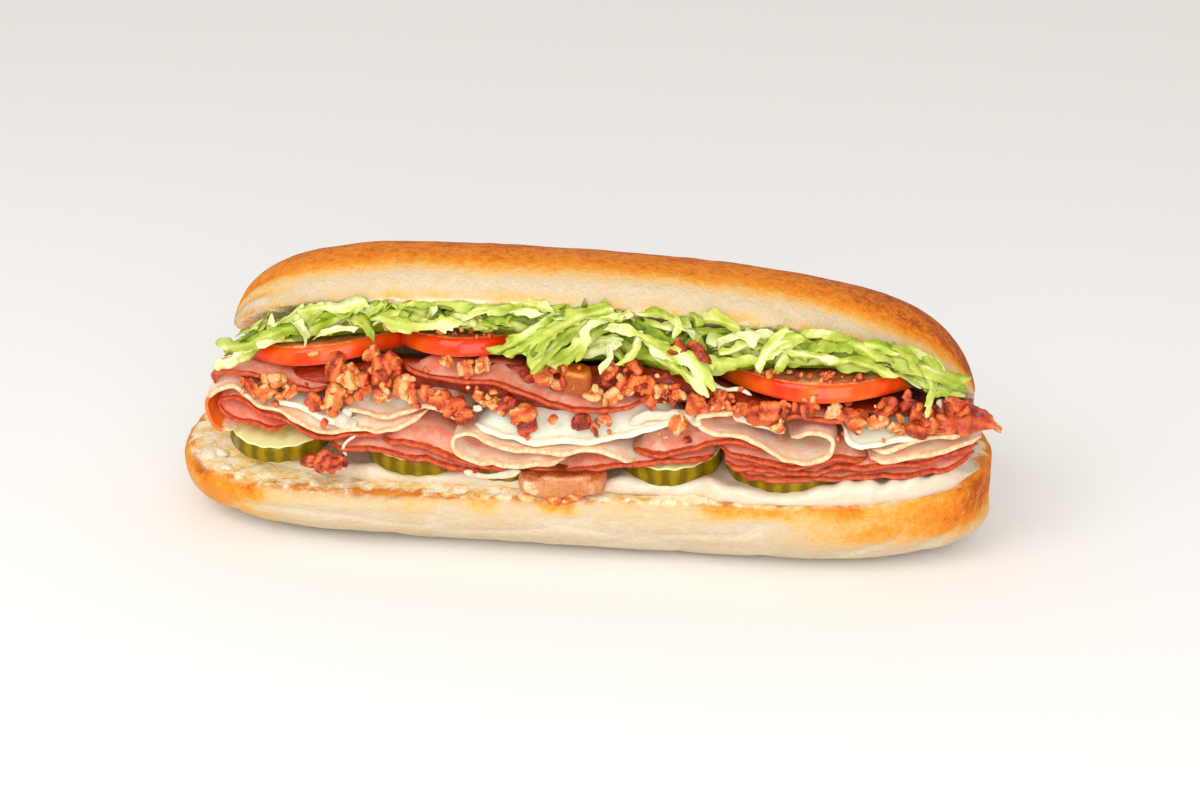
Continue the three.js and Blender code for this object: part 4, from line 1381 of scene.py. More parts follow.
@dataclass(frozen=True)
class ColdCuts:
    """Ham, turkey and cheese, folded and stacked."""

    slices: tuple[FoldedSlice, ...] = (
        FoldedSlice("ham_left_fold", Cut.HAM, 0, 2, (
            (-58, 41.4), (-70, 40.7), (-82, 38.7), (-92, 43.4), (-103, 45.6), (-111, 49.4),
            (-117, 46.4), (-114.5, 42), (-104, 40.8), (-95, 40.4))),
        FoldedSlice("ham_left_top", Cut.HAM, 0.6, 3.5, (
            (-60.5, 38.9), (-51, 39.1), (-42, 37.3), (-34, 34.6), (-27, 33.1), (-17, 32.5))),
        FoldedSlice("ham_left_low", Cut.HAM, 1, 1, (
            (-78, 36.4), (-68, 36.6), (-58, 36), (-46, 34.8), (-36, 32.6), (-27, 31))),
        FoldedSlice("ham_centre_top", Cut.HAM, -0.5, 6, (
            (22, 38.8), (34, 40.2), (42, 42.4), (49, 45.2), (57, 45.4), (64, 42.4))),
        FoldedSlice("ham_centre_low", Cut.HAM, 0, 1, (
            (-14, 33.2), (-1, 33.4), (11, 34.4), (23, 36.4), (36, 38), (48, 39.4))),
        FoldedSlice("ham_right_top", Cut.HAM, 0, 2, (
            (50, 42.4), (57, 40.6), (65, 39.3), (76, 38.7), (86, 40.7), (97, 41))),
        FoldedSlice("ham_right_middle", Cut.HAM, 0.5, 1, (
            (52, 38.2), (62, 37.2), (76, 36.7), (90, 38.5), (104, 39.4), (116, 40.6), (126, 42),
            (132, 42.8))),
        FoldedSlice("ham_right_low", Cut.HAM, 1.2, 0.5, (
            (56, 36), (66, 35.4), (76, 34.8), (90, 36.3), (104, 36.6), (116, 37.4), (126, 38.6),
            (131, 39.8))),
        FoldedSlice("ham_upper_left", Cut.HAM, 1, 3, (
            (-119.5, 52), (-119, 56), (-112, 58), (-103, 57.6), (-95, 56.4), (-88, 54.8), (-79, 55.6))),
        FoldedSlice("ham_upper_centre", Cut.HAM, 2, 6, (
            (-54, 64.6), (-46, 61.8), (-33, 60.8), (-21, 60.2), (-12, 57.2), (-1, 54.5), (10, 53.2),
            (18, 54.3), (25, 57.4))),
        FoldedSlice("ham_upper_right", Cut.HAM, 1, 3, (
            (68, 53), (73, 54.4), (79, 54.8), (86, 53.8), (93, 54.4))),
        FoldedSlice("ham_upper_end", Cut.HAM, 1, 2, (
            (111, 50.4), (118, 50.6), (124, 50.2), (129.5, 49))),
        FoldedSlice("turkey_left", Cut.TURKEY, 1, 4, (
            (-113, 37.2), (-119.6, 40), (-121, 46.5), (-112, 52.8), (-103, 48.4), (-95, 46.2),
            (-88, 44.8), (-81, 41.2), (-70, 43.2), (-62, 42.8), (-54, 44.6), (-47, 48.4))),
        FoldedSlice("turkey_left_flap", Cut.TURKEY, -1, 6, (
            (-76, 48.2), (-66, 47.8), (-57, 47.2), (-46, 51.6), (-40, 50), (-35, 46.2))),
        FoldedSlice("turkey_centre", Cut.TURKEY, 2, 0.5, (
            (23, 36.6), (18, 39.4), (8, 40.9), (-6, 39.5), (-17, 39.8), (-25, 41.6), (-31, 43.6),
            (-35.6, 42.2), (-35.2, 38.4), (-29, 35.8), (-18, 35.4), (-8, 35.8), (0, 36.6))),
        FoldedSlice("turkey_right", Cut.TURKEY, 2, 0.5, (
            (56, 54.8), (48, 55.2), (43.2, 53.6), (43.6, 50.4), (49, 48.6), (57, 48), (64, 45.2),
            (72, 41.6), (80, 41.3), (85.6, 43.8), (86, 48), (80.5, 50), (73, 47.6))),
        FoldedSlice("turkey_end_top", Cut.TURKEY, 1, 1.5, (
            (99, 44.4), (107, 45.8), (114, 47.6), (121, 48), (128.5, 47.7))),
        FoldedSlice("turkey_end_low", Cut.TURKEY, 1.5, 1, (
            (98.5, 41.9), (109, 42.4), (119, 43.9), (128, 45.1), (133, 44.9))),
        FoldedSlice("cheese_left", Cut.CHEESE, 0, 2, (
            (-99, 49.8), (-91, 49), (-84, 46.6), (-77, 44.8), (-70, 45.7))),
        FoldedSlice("cheese_centre", Cut.CHEESE, 1, 8.5, (
            (-30, 46.4), (-20, 44), (-6, 42.7), (8, 43.7), (20, 45.8), (30, 49.2), (37, 51.8))),
        FoldedSlice("cheese_right", Cut.CHEESE, 1, 5.5, (
            (89.6, 51), (92, 47.2), (99, 46.8), (107, 48.4), (116, 49.8))),
    )
    finishes: tuple[tuple[Cut, MeatFinish], ...] = (
        (Cut.HAM, MeatFinish("ham", (252, 142, 114), (254, 188, 162), (202, 88, 42), (152, 48, 16))),
        (Cut.TURKEY, MeatFinish(
            "turkey", (255, 202, 172), (255, 232, 210), (250, 214, 178), (240, 176, 124))),
        (Cut.CHEESE, MeatFinish(
            "cheese", (255, 248, 220), (255, 252, 232), (252, 242, 216), (246, 228, 192))),
    )

    def build(self, kitchen: Kitchen) -> None:
        """Folds and stacks the slices."""
        materials = {cut: finish.material() for cut, finish in self.finishes}
        for k, piece in enumerate(self.slices):
            skin, material = piece.skin(k), materials[piece.cut]
            kitchen.serve(f"{piece.name}_slice", skin, material, (piece.name,))


# ---- bacon and lettuce


@dataclass(frozen=True)
class Heap:
    """A lumpy mass between two lines on the front face, drawn back along the fan lines."""

    low: Line
    high: Line
    inset: float
    lumps: float
    back_scale: float = 0.42

    def skin(self, seed: int, values: dict[str, float]) -> Skin:
        """Rings at stations along X: up the lumpy front, then down the plain back."""
        x = np.linspace(self.low[0][0], self.low[-1][0], 260)[:, None]
        noise = Noise(seed)
        low = line_height(self.low, x)
        high = np.maximum(low + 0.6, line_height(self.high, x))
        level = np.linspace(0, 1, 26)
        z = low + (high - low) * level
        flat = stacked(x, 0.0, z)
        out = -self.inset * (1 - 0.5 * np.sin(math.pi * level))
        out = out + self.lumps * (noise.layered(flat, 7.0, 2) + 0.6 * noise.at(flat + 20, 2.6))
        front = FAN.point(x, z, out)
        back = FAN.point(x, z[:, ::-5], 0.0, self.back_scale)
        rings = np.concatenate([front, back], axis=1)
        return closed_loft(rings, values)


def pebble(detail: int) -> tuple[Array, Array]:
    """A unit ball of triangles, as (points, faces)."""
    work = bmesh.new()
    bmesh.ops.create_icosphere(work, subdivisions=detail, radius=1.0)
    points = np.array([v.co[:] for v in work.verts])
    faces = np.array([[v.index for v in f.verts] for f in work.faces])
    work.free()
    return points, faces


def turned(rng: Rng, count: int) -> Array:
    """Random rotation matrices, from unit quaternions drawn evenly."""
    w, x, y, z = unit(rng.normal(size=(count, 4))).T
    rows = [
        [1 - 2 * (y * y + z * z), 2 * (x * y - w * z), 2 * (x * z + w * y)],
        [2 * (x * y + w * z), 1 - 2 * (x * x + z * z), 2 * (y * z - w * x)],
        [2 * (x * z - w * y), 2 * (y * z + w * x), 1 - 2 * (x * x + y * y)],
    ]
    return np.moveaxis(np.array(rows), -1, 0)


@dataclass(frozen=True)
class Bits:
    """Bacon bits as arrays: where each belongs on the front face, its half length and its fat."""

    x: Array
    z: Array
    size: Array
    fat: Array


@dataclass(frozen=True)
class Bacon:
    """Crumbled bacon over a core kept dark as painted shade between the bits, and a few pieces as large as a
    berry.
    """

    placed: tuple[tuple[float, float, float, float], ...] = (
        (-76, 63, 5, 0.4), (-71.5, 60.5, 4.6, 0.8), (-66.5, 59, 3, 0.5), (-61, 62, 5.6, 0.4),
        (-54, 58.4, 4.2, 0.85), (-76, 53.5, 4.2, 0.7), (-83.5, 50, 3.6, 0.35), (-77, 48.5, 2, 0.3),
        (-68, 55, 2.4, 0.6), (-61, 54, 2.4, 0.75), (-51, 55, 3, 0.75), (-46, 56.5, 2.8, 0.55),
        (-104.5, 53.5, 3, 0.2), (-99.5, 53, 3.6, 0.75), (-96, 57, 3, 0.95), (-91.5, 54, 3.2, 0.5),
        (-42, 54.5, 3, 0.55), (-36, 52.5, 3.6, 0.35), (-64, 67.5, 3, 0.5), (-57, 66.5, 3, 0.35),
        (-39, 55, 3, 0.3), (-28.9, 55.8, 2.9, 0.8), (-23.6, 54, 3.2, 0.75), (-18.8, 53.4, 3.9, 0.2),
        (-32.5, 49.5, 4, 0.4), (-13, 51.4, 3.7, 0.45), (-12.6, 47.6, 3, 0.3), (5.4, 49.4, 3, 0.15),
        (13.2, 50.5, 2.2, 0.7), (-6.3, 63.4, 4, 0.45), (-3.1, 61, 2, 0.95), (-1.2, 66, 2.2, 0.3),
        (8.6, 59.2, 3.2, 0.9), (14.9, 58.2, 3.6, 0.8), (13.5, 66.5, 3.2, 0.2), (17.6, 62, 3.6, 0.5),
        (24.5, 62.6, 4.6, 0.2), (27.2, 57.4, 3.2, 0.55), (31, 61, 2.6, 1.0), (35.5, 59.6, 2.8, 0.35),
        (41.8, 56.8, 4.2, 0.45), (36.5, 49.8, 3.4, 0.85), (49, 58, 3, 0.5), (22, 68, 2.8, 0.2),
        (-33.5, 65, 2.8, 0.7), (-39.5, 66, 2.2, 0.75), (-27.5, 65.6, 3, 0.6), (62.8, 55.2, 5.2, 0.4),
        (56, 56, 2.6, 0.45), (52, 59, 2.8, 0.45), (69, 52, 2.2, 0.85), (71, 58, 2.8, 0.5),
        (78, 58.5, 3.4, 0.15), (86, 57, 2.8, 1.0), (93, 56, 4.8, 0.35), (99.5, 55, 3.4, 0.6),
        (103.4, 58, 4, 0.45), (110, 59.8, 3.6, 0.1), (105.6, 52.4, 2.6, 0.85), (111.5, 51.8, 4.6, 0.4),
        (116.6, 53.4, 2.8, 0.6), (93.6, 51, 2.3, 0.5), (123, 58.4, 3.8, 0.2), (126, 56, 3, 0.35),
    )

    core_low: Line = (
        (-108, 55), (-98, 53.4), (-80, 52.5), (-62, 54.4), (-40, 56), (-28, 53.6), (-4, 50.2),
        (20, 53.4), (34, 55.8), (46, 56.6), (62, 56.2), (84, 55.6), (106, 54), (120, 53), (130, 50.4),
    )
    core_high: Line = (
        (-108, 57), (-98, 59), (-80, 61.6), (-60, 65), (-40, 66), (-26, 66.4), (-10, 65.6), (20, 68),
        (34, 67), (46, 64), (62, 58.4), (84, 58), (106, 58), (120, 55), (130, 51.6),
    )
    strip_path: tuple[Triple, ...] = (
        (110, -30, 55.4), (121, -25.6, 53.6), (128, -21.4, 52.8), (132.6, -17.8, 51),
        (135.6, -14.6, 48.6), (139.2, -11, 45.2),
    )
    strip_width: Line = ((0, 4.6), (0.5, 5.2), (0.62, 4.8), (0.78, 2.7), (0.86, 1.2), (1, 0.9))

    def bits(self, rng: Rng, x: Array, z: Array, sizes: Pair, fat: float) -> Bits:
        """Bits at given places, with random sizes between two limits and random fat."""
        size = rng.uniform(*sizes, len(x))
        return Bits(x, z, size, np.clip(rng.normal(fat, 0.26, len(x)), 0, 1))

    def small(self, rng: Rng, count: int) -> Bits:
        """Small crumbs strewn round the placed ones."""
        x, z, _, _ = np.array(self.placed)[rng.integers(0, len(self.placed), count)].T
        x = np.clip(x + rng.normal(0, 3.6, count), -108, 127)
        z = z + rng.normal(-0.4, 1.9, count)
        return self.bits(rng, x, z, (0.8, 2.4), 0.55)

    def over(self, rng: Rng, line: Line, count: int) -> Bits:
        """Very small crumbs along a line of the face."""
        x = rng.uniform(line[0][0], line[-1][0], count)
        z = line_height(line, x) + rng.normal(0, 0.9, count)
        return self.bits(rng, x, z, (0.5, 1.5), 0.5)

    def broken(self, balls: Array, rng: Rng, size: Array) -> tuple[Array, Array]:
        """Balls made into broken, crusty slabs whose fat lies in bands.

        In each direction the radius is that of a box with rounded edges, by the fourth-power norm,
        or of the nearest of seven random planes. The slab is bent by the square of its length, and
        noise from two millimetres down roughens it. The fat is a sine across the slab plus noise.

        Args:
            balls: (points, 3) unit directions.
            rng: the random numbers.
            size: half length of each slab in millimetres.

        Returns:
            (slabs, points, 3) shapes in millimetres, and (slabs, points) changes to their fat.
        """
        count = len(size)
        half = rng.uniform((0.9, 0.55, 0.34), (1.0, 0.9, 0.62), (count, 1, 3))
        box = (np.abs(balls / half) ** 4).sum(axis=-1) ** -0.25
        planes = unit(rng.normal(size=(count, 7, 3)))
        support = np.sum(np.abs(planes) * half, axis=-1)[:, None, :]
        cosine = np.maximum(1e-3, np.einsum("vi,nki->nvk", balls, planes))
        cut = (rng.uniform(0.36, 0.8, (count, 1, 7)) * support / cosine).min(axis=-1)
        shape = balls * (np.minimum(box, cut) * size[:, None])[..., None]
        spot = shape + rng.uniform(0, 60, (count, 1, 3))
        noise = Noise(71)
        rough = 0.5 * noise.layered(spot, 2.3, 3) - 0.4 * (1 - np.abs(noise.at(spot + 11, 1.3))) ** 5
        rough = rough + 0.22 * noise.at(spot + 5, 0.9)
        shape = shape + balls * (rough * np.minimum(1.0, size / 3.0)[:, None])[..., None]
        bend = rng.uniform(-0.3, 0.45, (count, 1)) / size[:, None]
        shape[..., 2] += bend * shape[..., 0] ** 2
        phase = rng.uniform(0, 2 * math.pi, (count, 1))
        bands = 0.24 * np.sin(shape[..., 1] * 1.5 + phase) + 0.2 * noise.at(spot + 31, 2.6)
        return shape, bands

    def pile(self, at: Triple, half: Triple, lobes: int, fat: float, seed: int) -> Skin:
        """A knobbly piece of several slabs turned every way and strung through a box."""
        rng = np.random.default_rng(seed)
        balls, faces = pebble(4)
        shapes, bands = self.broken(balls, rng, rng.uniform(0.5, 0.7, lobes) * half[0])
        shapes = np.einsum("nij,nvj->nvi", turned(rng, lobes), shapes)
        spread = np.stack([np.linspace(-0.6, 0.6, lobes), *rng.uniform(-0.4, 0.4, (2, lobes))], axis=-1)
        squash = np.array([1.0, 1.5 * half[1] / half[0], 1.5 * half[2] / half[0]])
        points = shapes * squash + (spread * half)[:, None, :] + np.array(at)
        tris = (faces[None] + np.arange(lobes)[:, None, None] * len(balls)).reshape(-1, 3)
        share = np.clip(fat + rng.normal(0, 0.14, (lobes, 1)) + bands, 0, 1)
        return Skin(points.reshape(-1, 3), tris, {"fat": share.ravel()})

    def strewn(self, bits: Bits, kitchen: Kitchen, rng: Rng, lobes: int, detail: int) -> Skin:
        """Bits that lie on what is under them, each a slab with smaller ones grown into it.

        Args:
            bits: the bits to make.
            kitchen: holds what they can lie on.
            rng: the random numbers.
            lobes: slabs in each bit.
            detail: how fine each ball is.

        Returns:
            All bits as one surface, with their fat.
        """
        places, normals = kitchen.first_met(FAN.point(bits.x, bits.z, 1.0), bits.size * 0.3)
        balls, faces = pebble(detail)
        count = len(places)
        total = count * lobes
        lean = unit(rng.normal(size=places.shape) * 0.35 + normals + np.array(SIGHT) * 0.6)
        length = unit(np.cross(lean, rng.normal(size=places.shape)))
        frames = np.repeat(stacked(length, np.cross(lean, length), lean), lobes, axis=0)
        first = np.arange(total) % lobes == 0
        size = np.repeat(bits.size, lobes) * np.where(first, 1.0, rng.uniform(0.45, 0.72, total))
        shapes, bands = self.broken(balls, rng, size)
        tumbled = np.einsum("nij,nvj->nvi", turned(rng, total), shapes)
        shapes = np.where(first[:, None, None], shapes, tumbled)
        offset = rng.uniform((-0.8, -0.55, 0.0), (0.8, 0.55, 0.4), (total, 3))
        offset = offset * np.where(first, 0.0, 1.0)[:, None]
        local = shapes + (offset * np.repeat(bits.size, lobes)[:, None])[:, None, :]
        points = np.einsum("nij,nvj->nvi", frames, local)
        seats = places + lean * (bits.size * 0.2)[:, None]
        points = points + np.repeat(seats, lobes, axis=0)[:, None, :]
        tris = (faces[None] + np.arange(total)[:, None, None] * len(balls)).reshape(-1, 3)
        share = np.repeat(bits.fat, lobes) + rng.normal(0, 0.12, total)
        return Skin(points.reshape(-1, 3), tris, {"fat": np.clip(share[:, None] + bands, 0, 1).ravel()})

    def chunk(
        self, at: Triple, half: Triple, turn: Triple, square: float, dents: float, fat: float, seed: int
    ) -> Skin:
        """A rounded block with dents: a ball whose coordinates are raised to a power, scaled and turned.

        Args:
            at: its middle.
            half: its half sizes.
            turn: turns about X, Y and Z, in radians.
            square: the power, 1 for a ball and near 0 for a block.
            dents: depth of the unevenness in millimetres.
            fat: how fat it is, from 0 to 1.
            seed: starts its noise.

        Returns:
            The piece's surface.
        """
        polar = np.linspace(0.03, math.pi - 0.03, 44)[:, None]
        turns = full_turn(64)
        ball = stacked(np.sin(polar) * np.cos(turns), np.sin(polar) * np.sin(turns), np.cos(polar))
        block = signed_power(ball, square)
        block = block / np.maximum(1.0, np.linalg.norm(block, axis=-1, keepdims=True) / 1.25)
        noise = Noise(seed)
        points = block * np.array(half)
        points = points + ball * (dents * noise.layered(points + 20, 4.0, 3))[..., None]
        cx, cy, cz = np.cos(turn)
        sx, sy, sz = np.sin(turn)
        about_x = np.array([[1, 0, 0], [0, cx, -sx], [0, sx, cx]])
        about_y = np.array([[cy, 0, sy], [0, 1, 0], [-sy, 0, cy]])
        about_z = np.array([[cz, -sz, 0], [sz, cz, 0], [0, 0, 1]])
        points = points @ (about_x @ about_y @ about_z).T + np.array(at)
        return closed_loft(points, {"fat": np.clip(fat + 0.4 * noise.layered(ball * 9, 6.0, 2), 0, 1)})

    def strip(self) -> Skin:
        """The rippled end of a fried strip that reaches out at the right end of the roll.

        Its middle line runs through the path's points, its half width is read off a line, and its
        width lies across the middle line and square to the view from in front.
        """
        line = smooth_curve(np.array(self.strip_path, float), 0.35)
        along = np.linspace(0, 1, len(line))[:, None]
        across = np.linspace(-1, 1, 21)
        direction = unit(np.gradient(line, axis=0))
        side = unit(np.cross(np.array(SIGHT), direction))
        up = np.cross(direction, side)
        noise = Noise(77)
        width = line_height(self.strip_width, along)
        width = width * (1 + 0.14 * noise.at(stacked(along * 14, 0.0, 0.0), 1.0))
        ripple = 0.8 * np.sin(along * 17 + 0.9 * across) + 0.4 * np.sin(along * 37 + 1)
        sheets = []
        for level in (-0.75, 0.75):
            lift = ripple + level * (1 - 0.4 * np.abs(across) ** 6)
            spot = line[:, None, :] + (width * across)[..., None] * side[:, None, :]
            sheets.append(spot + lift[..., None] * up[:, None, :])
        rings = np.concatenate([sheets[0], sheets[1][:, ::-1]], axis=1)
        rings = rings + 0.4 * noise.layered(rings, 2.2, 3)[..., None] * (up + 0.8 * side)[:, None, :]
        fat = 0.24 - 0.26 * across + 0.16 * np.sin(across * 6 + 4 * along) + 0.4 * ease(along, 0.74, 0.88)
        fat = np.concatenate([fat, fat[:, ::-1]], axis=1) + 0.2 * noise.at(rings, 3.0)
        return closed_loft(rings, {"fat": np.clip(fat, 0, 1)})

    def build(self, kitchen: Kitchen) -> None:
        """Builds the large pieces, the core, kept dark as painted shade, and the crumbs."""
        material = BaconFinish().material()
        slab = BaconFinish(
            "bacon_slab", (130, 46, 12), (164, 70, 26), (196, 112, 60), (216, 144, 90), (250, 214, 172),
        )
        glazed = BaconFinish(
            "bacon_glazed", (112, 40, 4), (158, 66, 8), (178, 82, 14), (200, 106, 26), (226, 146, 60),
        )
        block = self.chunk((-0.5, -36.6, 29.6), (14, 6.2, 4.2), (0.12, -0.03, 0.04), 0.3, 0.9, 0.5, 80)
        cube = self.chunk((3.4, -33.2, 64), (5, 4, 4.3), (0.2, 0.12, 0.1), 0.35, 0.3, 0.5, 82)
        left = self.pile((-79, -37.5, 32), (7.4, 4.4, 4.2), 6, 0.2, 7)
        top = self.pile((40, -34.4, 75.4), (7, 3.6, 3.6), 5, 0.18, 8)
        chip = self.pile((0.4, -42.2, 25.4), (5.4, 2, 2), 4, 0.6, 9)
        # The core's low fat value of 0.12 keeps it dark: painted shade showing between the bits.
        core = Heap(self.core_low, self.core_high, 6.5, 1.3).skin(91, {"fat": 0.12})
        for name, skin, finish, nodes in (
            ("bacon_slab_fried", block, slab.material(), ("bacon_slab",)),
            ("bacon_chunk_fried", cube, glazed.material(), ("bacon_chunk",)),
            ("bacon_lump_left_fried", left, material, ("bacon_lump_left",)),
            ("bacon_lump_top_fried", top, material, ("bacon_lump_top",)),
            ("bacon_chip", chip, material, ()),
            ("bacon_strip_end_fried", self.strip(), material, ("bacon_strip_end",)),
            ("bacon_core", core, material, ("bacon_bits",)),
        ):
            kitchen.serve(name, skin, finish, nodes)
        rng = np.random.default_rng(5)
        x, z, size, fat = np.array(self.placed).T
        bits = self.strewn(Bits(x, z, 1.16 * size, fat), kitchen, rng, 2, 4)
        crumbs = self.strewn(self.small(rng, 200), kitchen, rng, 1, 2)
        tops = (((-60, 77), (-24, 76)), ((60, 68.5), (96, 68)))
        dust = [self.strewn(self.over(rng, line, 30), kitchen, rng, 1, 2) for line in tops]
        kitchen.serve("bacon_bits_fried", bits, material, lies_under=False)
        kitchen.serve("bacon_crumbs", joined([crumbs, *dust]), material, lies_under=False)


@dataclass(frozen=True)
class Lettuce:
    """Shredded lettuce under the lid: crinkled ribbons over a smaller core, whose dark green is painted
    shade.

    A shred is a row of x and z of its start and of its end on the front face, its bow, its width,
    how far it stands out, and how green it is.
    """

    low: Line = (
        (-118, 60), (-106, 66.5), (-88, 71.5), (-70, 75), (-52, 77.5), (-30, 78), (-14, 74), (-4, 68),
        (10, 70), (22, 69), (40, 66), (50, 68), (66, 70.4), (84, 71), (102, 68.4), (114, 63), (127, 60),
    )
    high: Line = (
        (-118, 63), (-104, 74), (-88, 79.4), (-70, 82), (-52, 83.4), (-30, 84.4), (-14, 84.8), (-4, 84.8),
        (10, 85), (22, 84.4), (40, 83.6), (50, 83), (66, 81), (84, 79.2), (102, 76), (114, 71), (127, 64),
    )
    shreds: tuple[tuple[float, ...], ...] = (
        (-87.5, 76.5, -115.5, 68, 1, 4.2, 4, 0.62), (-99.5, 70, -115, 65.5, 1, 3.6, 3, 0.4),
        (-106, 67, -117.5, 58, 1, 4.6, 2.5, 0.2), (-90.5, 74.5, -84.5, 70, 0.5, 4.5, 4.5, 0.15),
        (-88.5, 78.5, -65.5, 83.5, 1, 4, 4, 0.4), (-71, 79, -62, 73.5, 1, 4.5, 4.5, 0.7),
        (-60, 76.5, -35, 80, -1.5, 5.2, 4.5, 0.3), (-45.5, 86, -43.5, 80, 0.5, 4, 4, 0.35),
        (-82, 72.5, -68, 75, 1, 2.6, 4.5, 0.1), (-93, 71, -102, 68, 0.5, 3, 4, 0.15),
        (-85, 77, -66, 81.5, 1, 4, 3.5, 0.55), (-55, 84.5, -30, 87, 0.5, 3, 4, 0.5),
        (-38, 82, -6, 81.5, 3, 5, 4, 0.4), (-5, 82, -24, 70, 1, 4.6, 5, 0.5),
        (-4, 80, -18.5, 68.5, 1, 4.2, 5.5, 0.55), (15, 87, -14, 70, -2, 6.4, 6, 0.5),
        (13, 86, -10.5, 66, -1, 6.6, 6.6, 0.62), (17, 84.5, -4.5, 67.5, 1, 5, 5.4, 0.4),
        (7, 86, -10, 68.5, 1, 6, 5, 0.75), (20, 87, 5, 69, -3, 3.4, 7, 0.2),
        (12, 79, 37, 71, 3, 3.4, 6.5, 0.3), (23, 78, 17, 68.4, 1.5, 2.8, 6, 0.3),
        (26, 73.6, 47.5, 65.8, 1.5, 5.2, 6.5, 0.3), (29, 71.5, 46, 63.6, 1, 5, 6.8, 0.45),
        (22, 85, 38, 80, 2, 3, 5, 0.35), (33.5, 86, 35.5, 78.6, 1, 2.8, 5, 0.05),
        (39, 87, 42, 80.6, 0.8, 2.6, 5, 0.6), (31, 72, 48, 68.5, 1, 4, 6, 0.25),
        (-21, 84.5, -4, 84.5, 1, 3.4, 4, 0.5), (13, 75, 11, 66.4, 1.4, 2.4, 5, 0.1),
        (49, 77, 62, 78.5, 1, 4.6, 5, 0.2), (61.5, 79.5, 50, 73, 1, 4, 5, 0.3),
        (72, 82, 61.5, 69.5, -1.5, 6, 6, 0.25), (74, 80, 66.5, 69, -1, 4, 6, 0.45),
        (69, 75.5, 105, 69, 1, 3.4, 6.5, 0.36), (87, 81.5, 100, 72.5, 1, 5, 5, 0.6),
        (102, 79, 114, 68, 2, 3, 5.5, 0.35), (114, 72, 116.5, 56.6, 2, 3.4, 5, 0.35),
        (105, 75, 127, 65, 1, 6, 4, 0.5), (73, 81, 89, 81.5, 0.5, 3, 4, 0.35),
        (77, 76, 92, 77, 0.5, 4, 5, 0.5), (43, 85, 56, 82, 0.5, 4, 4, 0.4),
        (42, 71.5, 60.5, 73, -2, 4, 5.5, 0.45), (94, 80, 105, 77, 0.5, 3, 5, 0.5),
        (113, 74, 127, 68, 0.5, 4.6, 4, 0.55),
    )
    half_thickness: float = 0.14

    def core(self) -> Heap:
        """The mass behind the shreds, coloured dark green as painted shade in the gaps between them."""
        low = tuple((x, z - 0.4) for x, z in self.low[1:-1])
        high = tuple((x, z + 0.6) for x, z in self.high[1:-1])
        return Heap(low, high, 7.0, 1.8)

    def ribbons(self, paths: dict[str, Array], seed: int, steps: int, columns: int) -> Skin:
        """Crinkled ribbons, all computed as one array.

        A ribbon's middle line runs from start to end on the front face, bowed by a half sine and
        waved by noise, and stands out from the face. Its width axis lies across the line, turned by
        a twist that wanders. Across the width it is lifted by a fold, in proportion to the distance
        from the middle line, a curl, by its square, pleats that run along it, and crinkles of two
        sizes. Its two edges wander on their own, and a slant shears its ends.

        Args:
            paths: for each ribbon x0, z0, x1, z1, bow, width, out, green and twist.
            seed: starts the random numbers.
            steps: points along each ribbon.
            columns: points across it.

        Returns:
            The ribbons, one closed surface each, with their green, which also carries painted light and shade
            along the crinkles and pleats.
        """
        rng = np.random.default_rng(seed)
        noise = Noise(seed)
        column = {name: value[:, None] for name, value in paths.items()}
        count = len(paths["x0"])
        t = np.linspace(0, 1, steps)[None, :]
        own = np.arange(count)[:, None] * 3.7
        dx = column["x1"] - column["x0"]
        dz = column["z1"] - column["z0"]
        length = np.hypot(dx, dz)

        def drift(size: float, row: float) -> Array:
            """Noise along each ribbon, with features size millimetres long."""
            return noise.at(stacked(t * length / size, own, row), 1.0)

        bow = column["bow"] * np.sin(math.pi * t) + 1.2 * drift(13, 0)
        x = column["x0"] + dx * t - dz / length * bow
        z = column["z0"] + dz * t + dx / length * bow
        out = column["out"] - 2.0 * (1 - t) + 1.2 * drift(10, 5) + 0.8 * np.sin(math.pi * t)
        line = FAN.point(x, z, out)
        tangent = unit(np.gradient(line, axis=1))
        outward = FAN.point(x, z, 5.0) - FAN.point(x, z, 0.0)
        outward = unit(outward - np.sum(outward * tangent, axis=-1, keepdims=True) * tangent)
        side = np.cross(tangent, outward)
        twist = column["twist"] + 0.95 * drift(15, 10)
        wide = side * np.cos(twist)[..., None] + outward * np.sin(twist)[..., None]
        face = np.cross(wide, tangent)
        ends = np.sqrt(ease(t, -0.03, 0.03) * ease(1 - t, -0.03, 0.04))
        level = np.linspace(-1, 1, columns)
        across = np.concatenate([level, level[::-1]])
        sheet = np.repeat([1.0, -1.0], columns) * (1 - 0.6 * np.abs(across) ** 6)
        left, right = (
            1 + 0.5 * drift(6, row) + 0.36 * drift(2.4, row + 2) + 0.2 * drift(1.3, row + 4)
            for row in (20, 30)
        )
        half = np.where(across < 0, left[..., None], right[..., None])
        half = half * (column["width"] / 2 * ends)[..., None]
        fold = (1.3 * drift(9, 40))[..., None] * np.abs(across)
        curl = (1.2 * drift(12, 50) - 0.3)[..., None] * across**2
        spot = stacked((t * length)[..., None], half * across, own[..., None])
        pleats = np.sin(half * across * 2 * math.pi / 2.9 + (3.0 * drift(11, 70))[..., None])
        pleats = pleats * ease(column["width"], 3.6, 6.0)[..., None]
        crinkle = 0.85 * noise.at(spot, 3.4) + 0.44 * noise.at(spot + 9, 1.6) + 0.34 * pleats
        lift = (fold + curl) * half * 0.62 + crinkle * (0.45 + 0.55 * np.abs(across)) * ends[..., None]
        slant = rng.uniform(-1.3, 1.3, (count, 1, 1)) * half * across
        slant = slant + 1.6 * noise.at(spot + 40, 2.0) * ease(np.abs(t - 0.5), 0.3, 0.5)[..., None]
        lift = lift + self.half_thickness * sheet * (0.4 + 0.6 * ends[..., None])
        points = (
            line[:, :, None, :]
            + wide[:, :, None, :] * (half * across)[..., None]
            + tangent[:, :, None, :] * slant[..., None]
            + face[:, :, None, :] * lift[..., None]
        )
        lean = rng.uniform(-0.24, 0.24, (count, 1, 1))
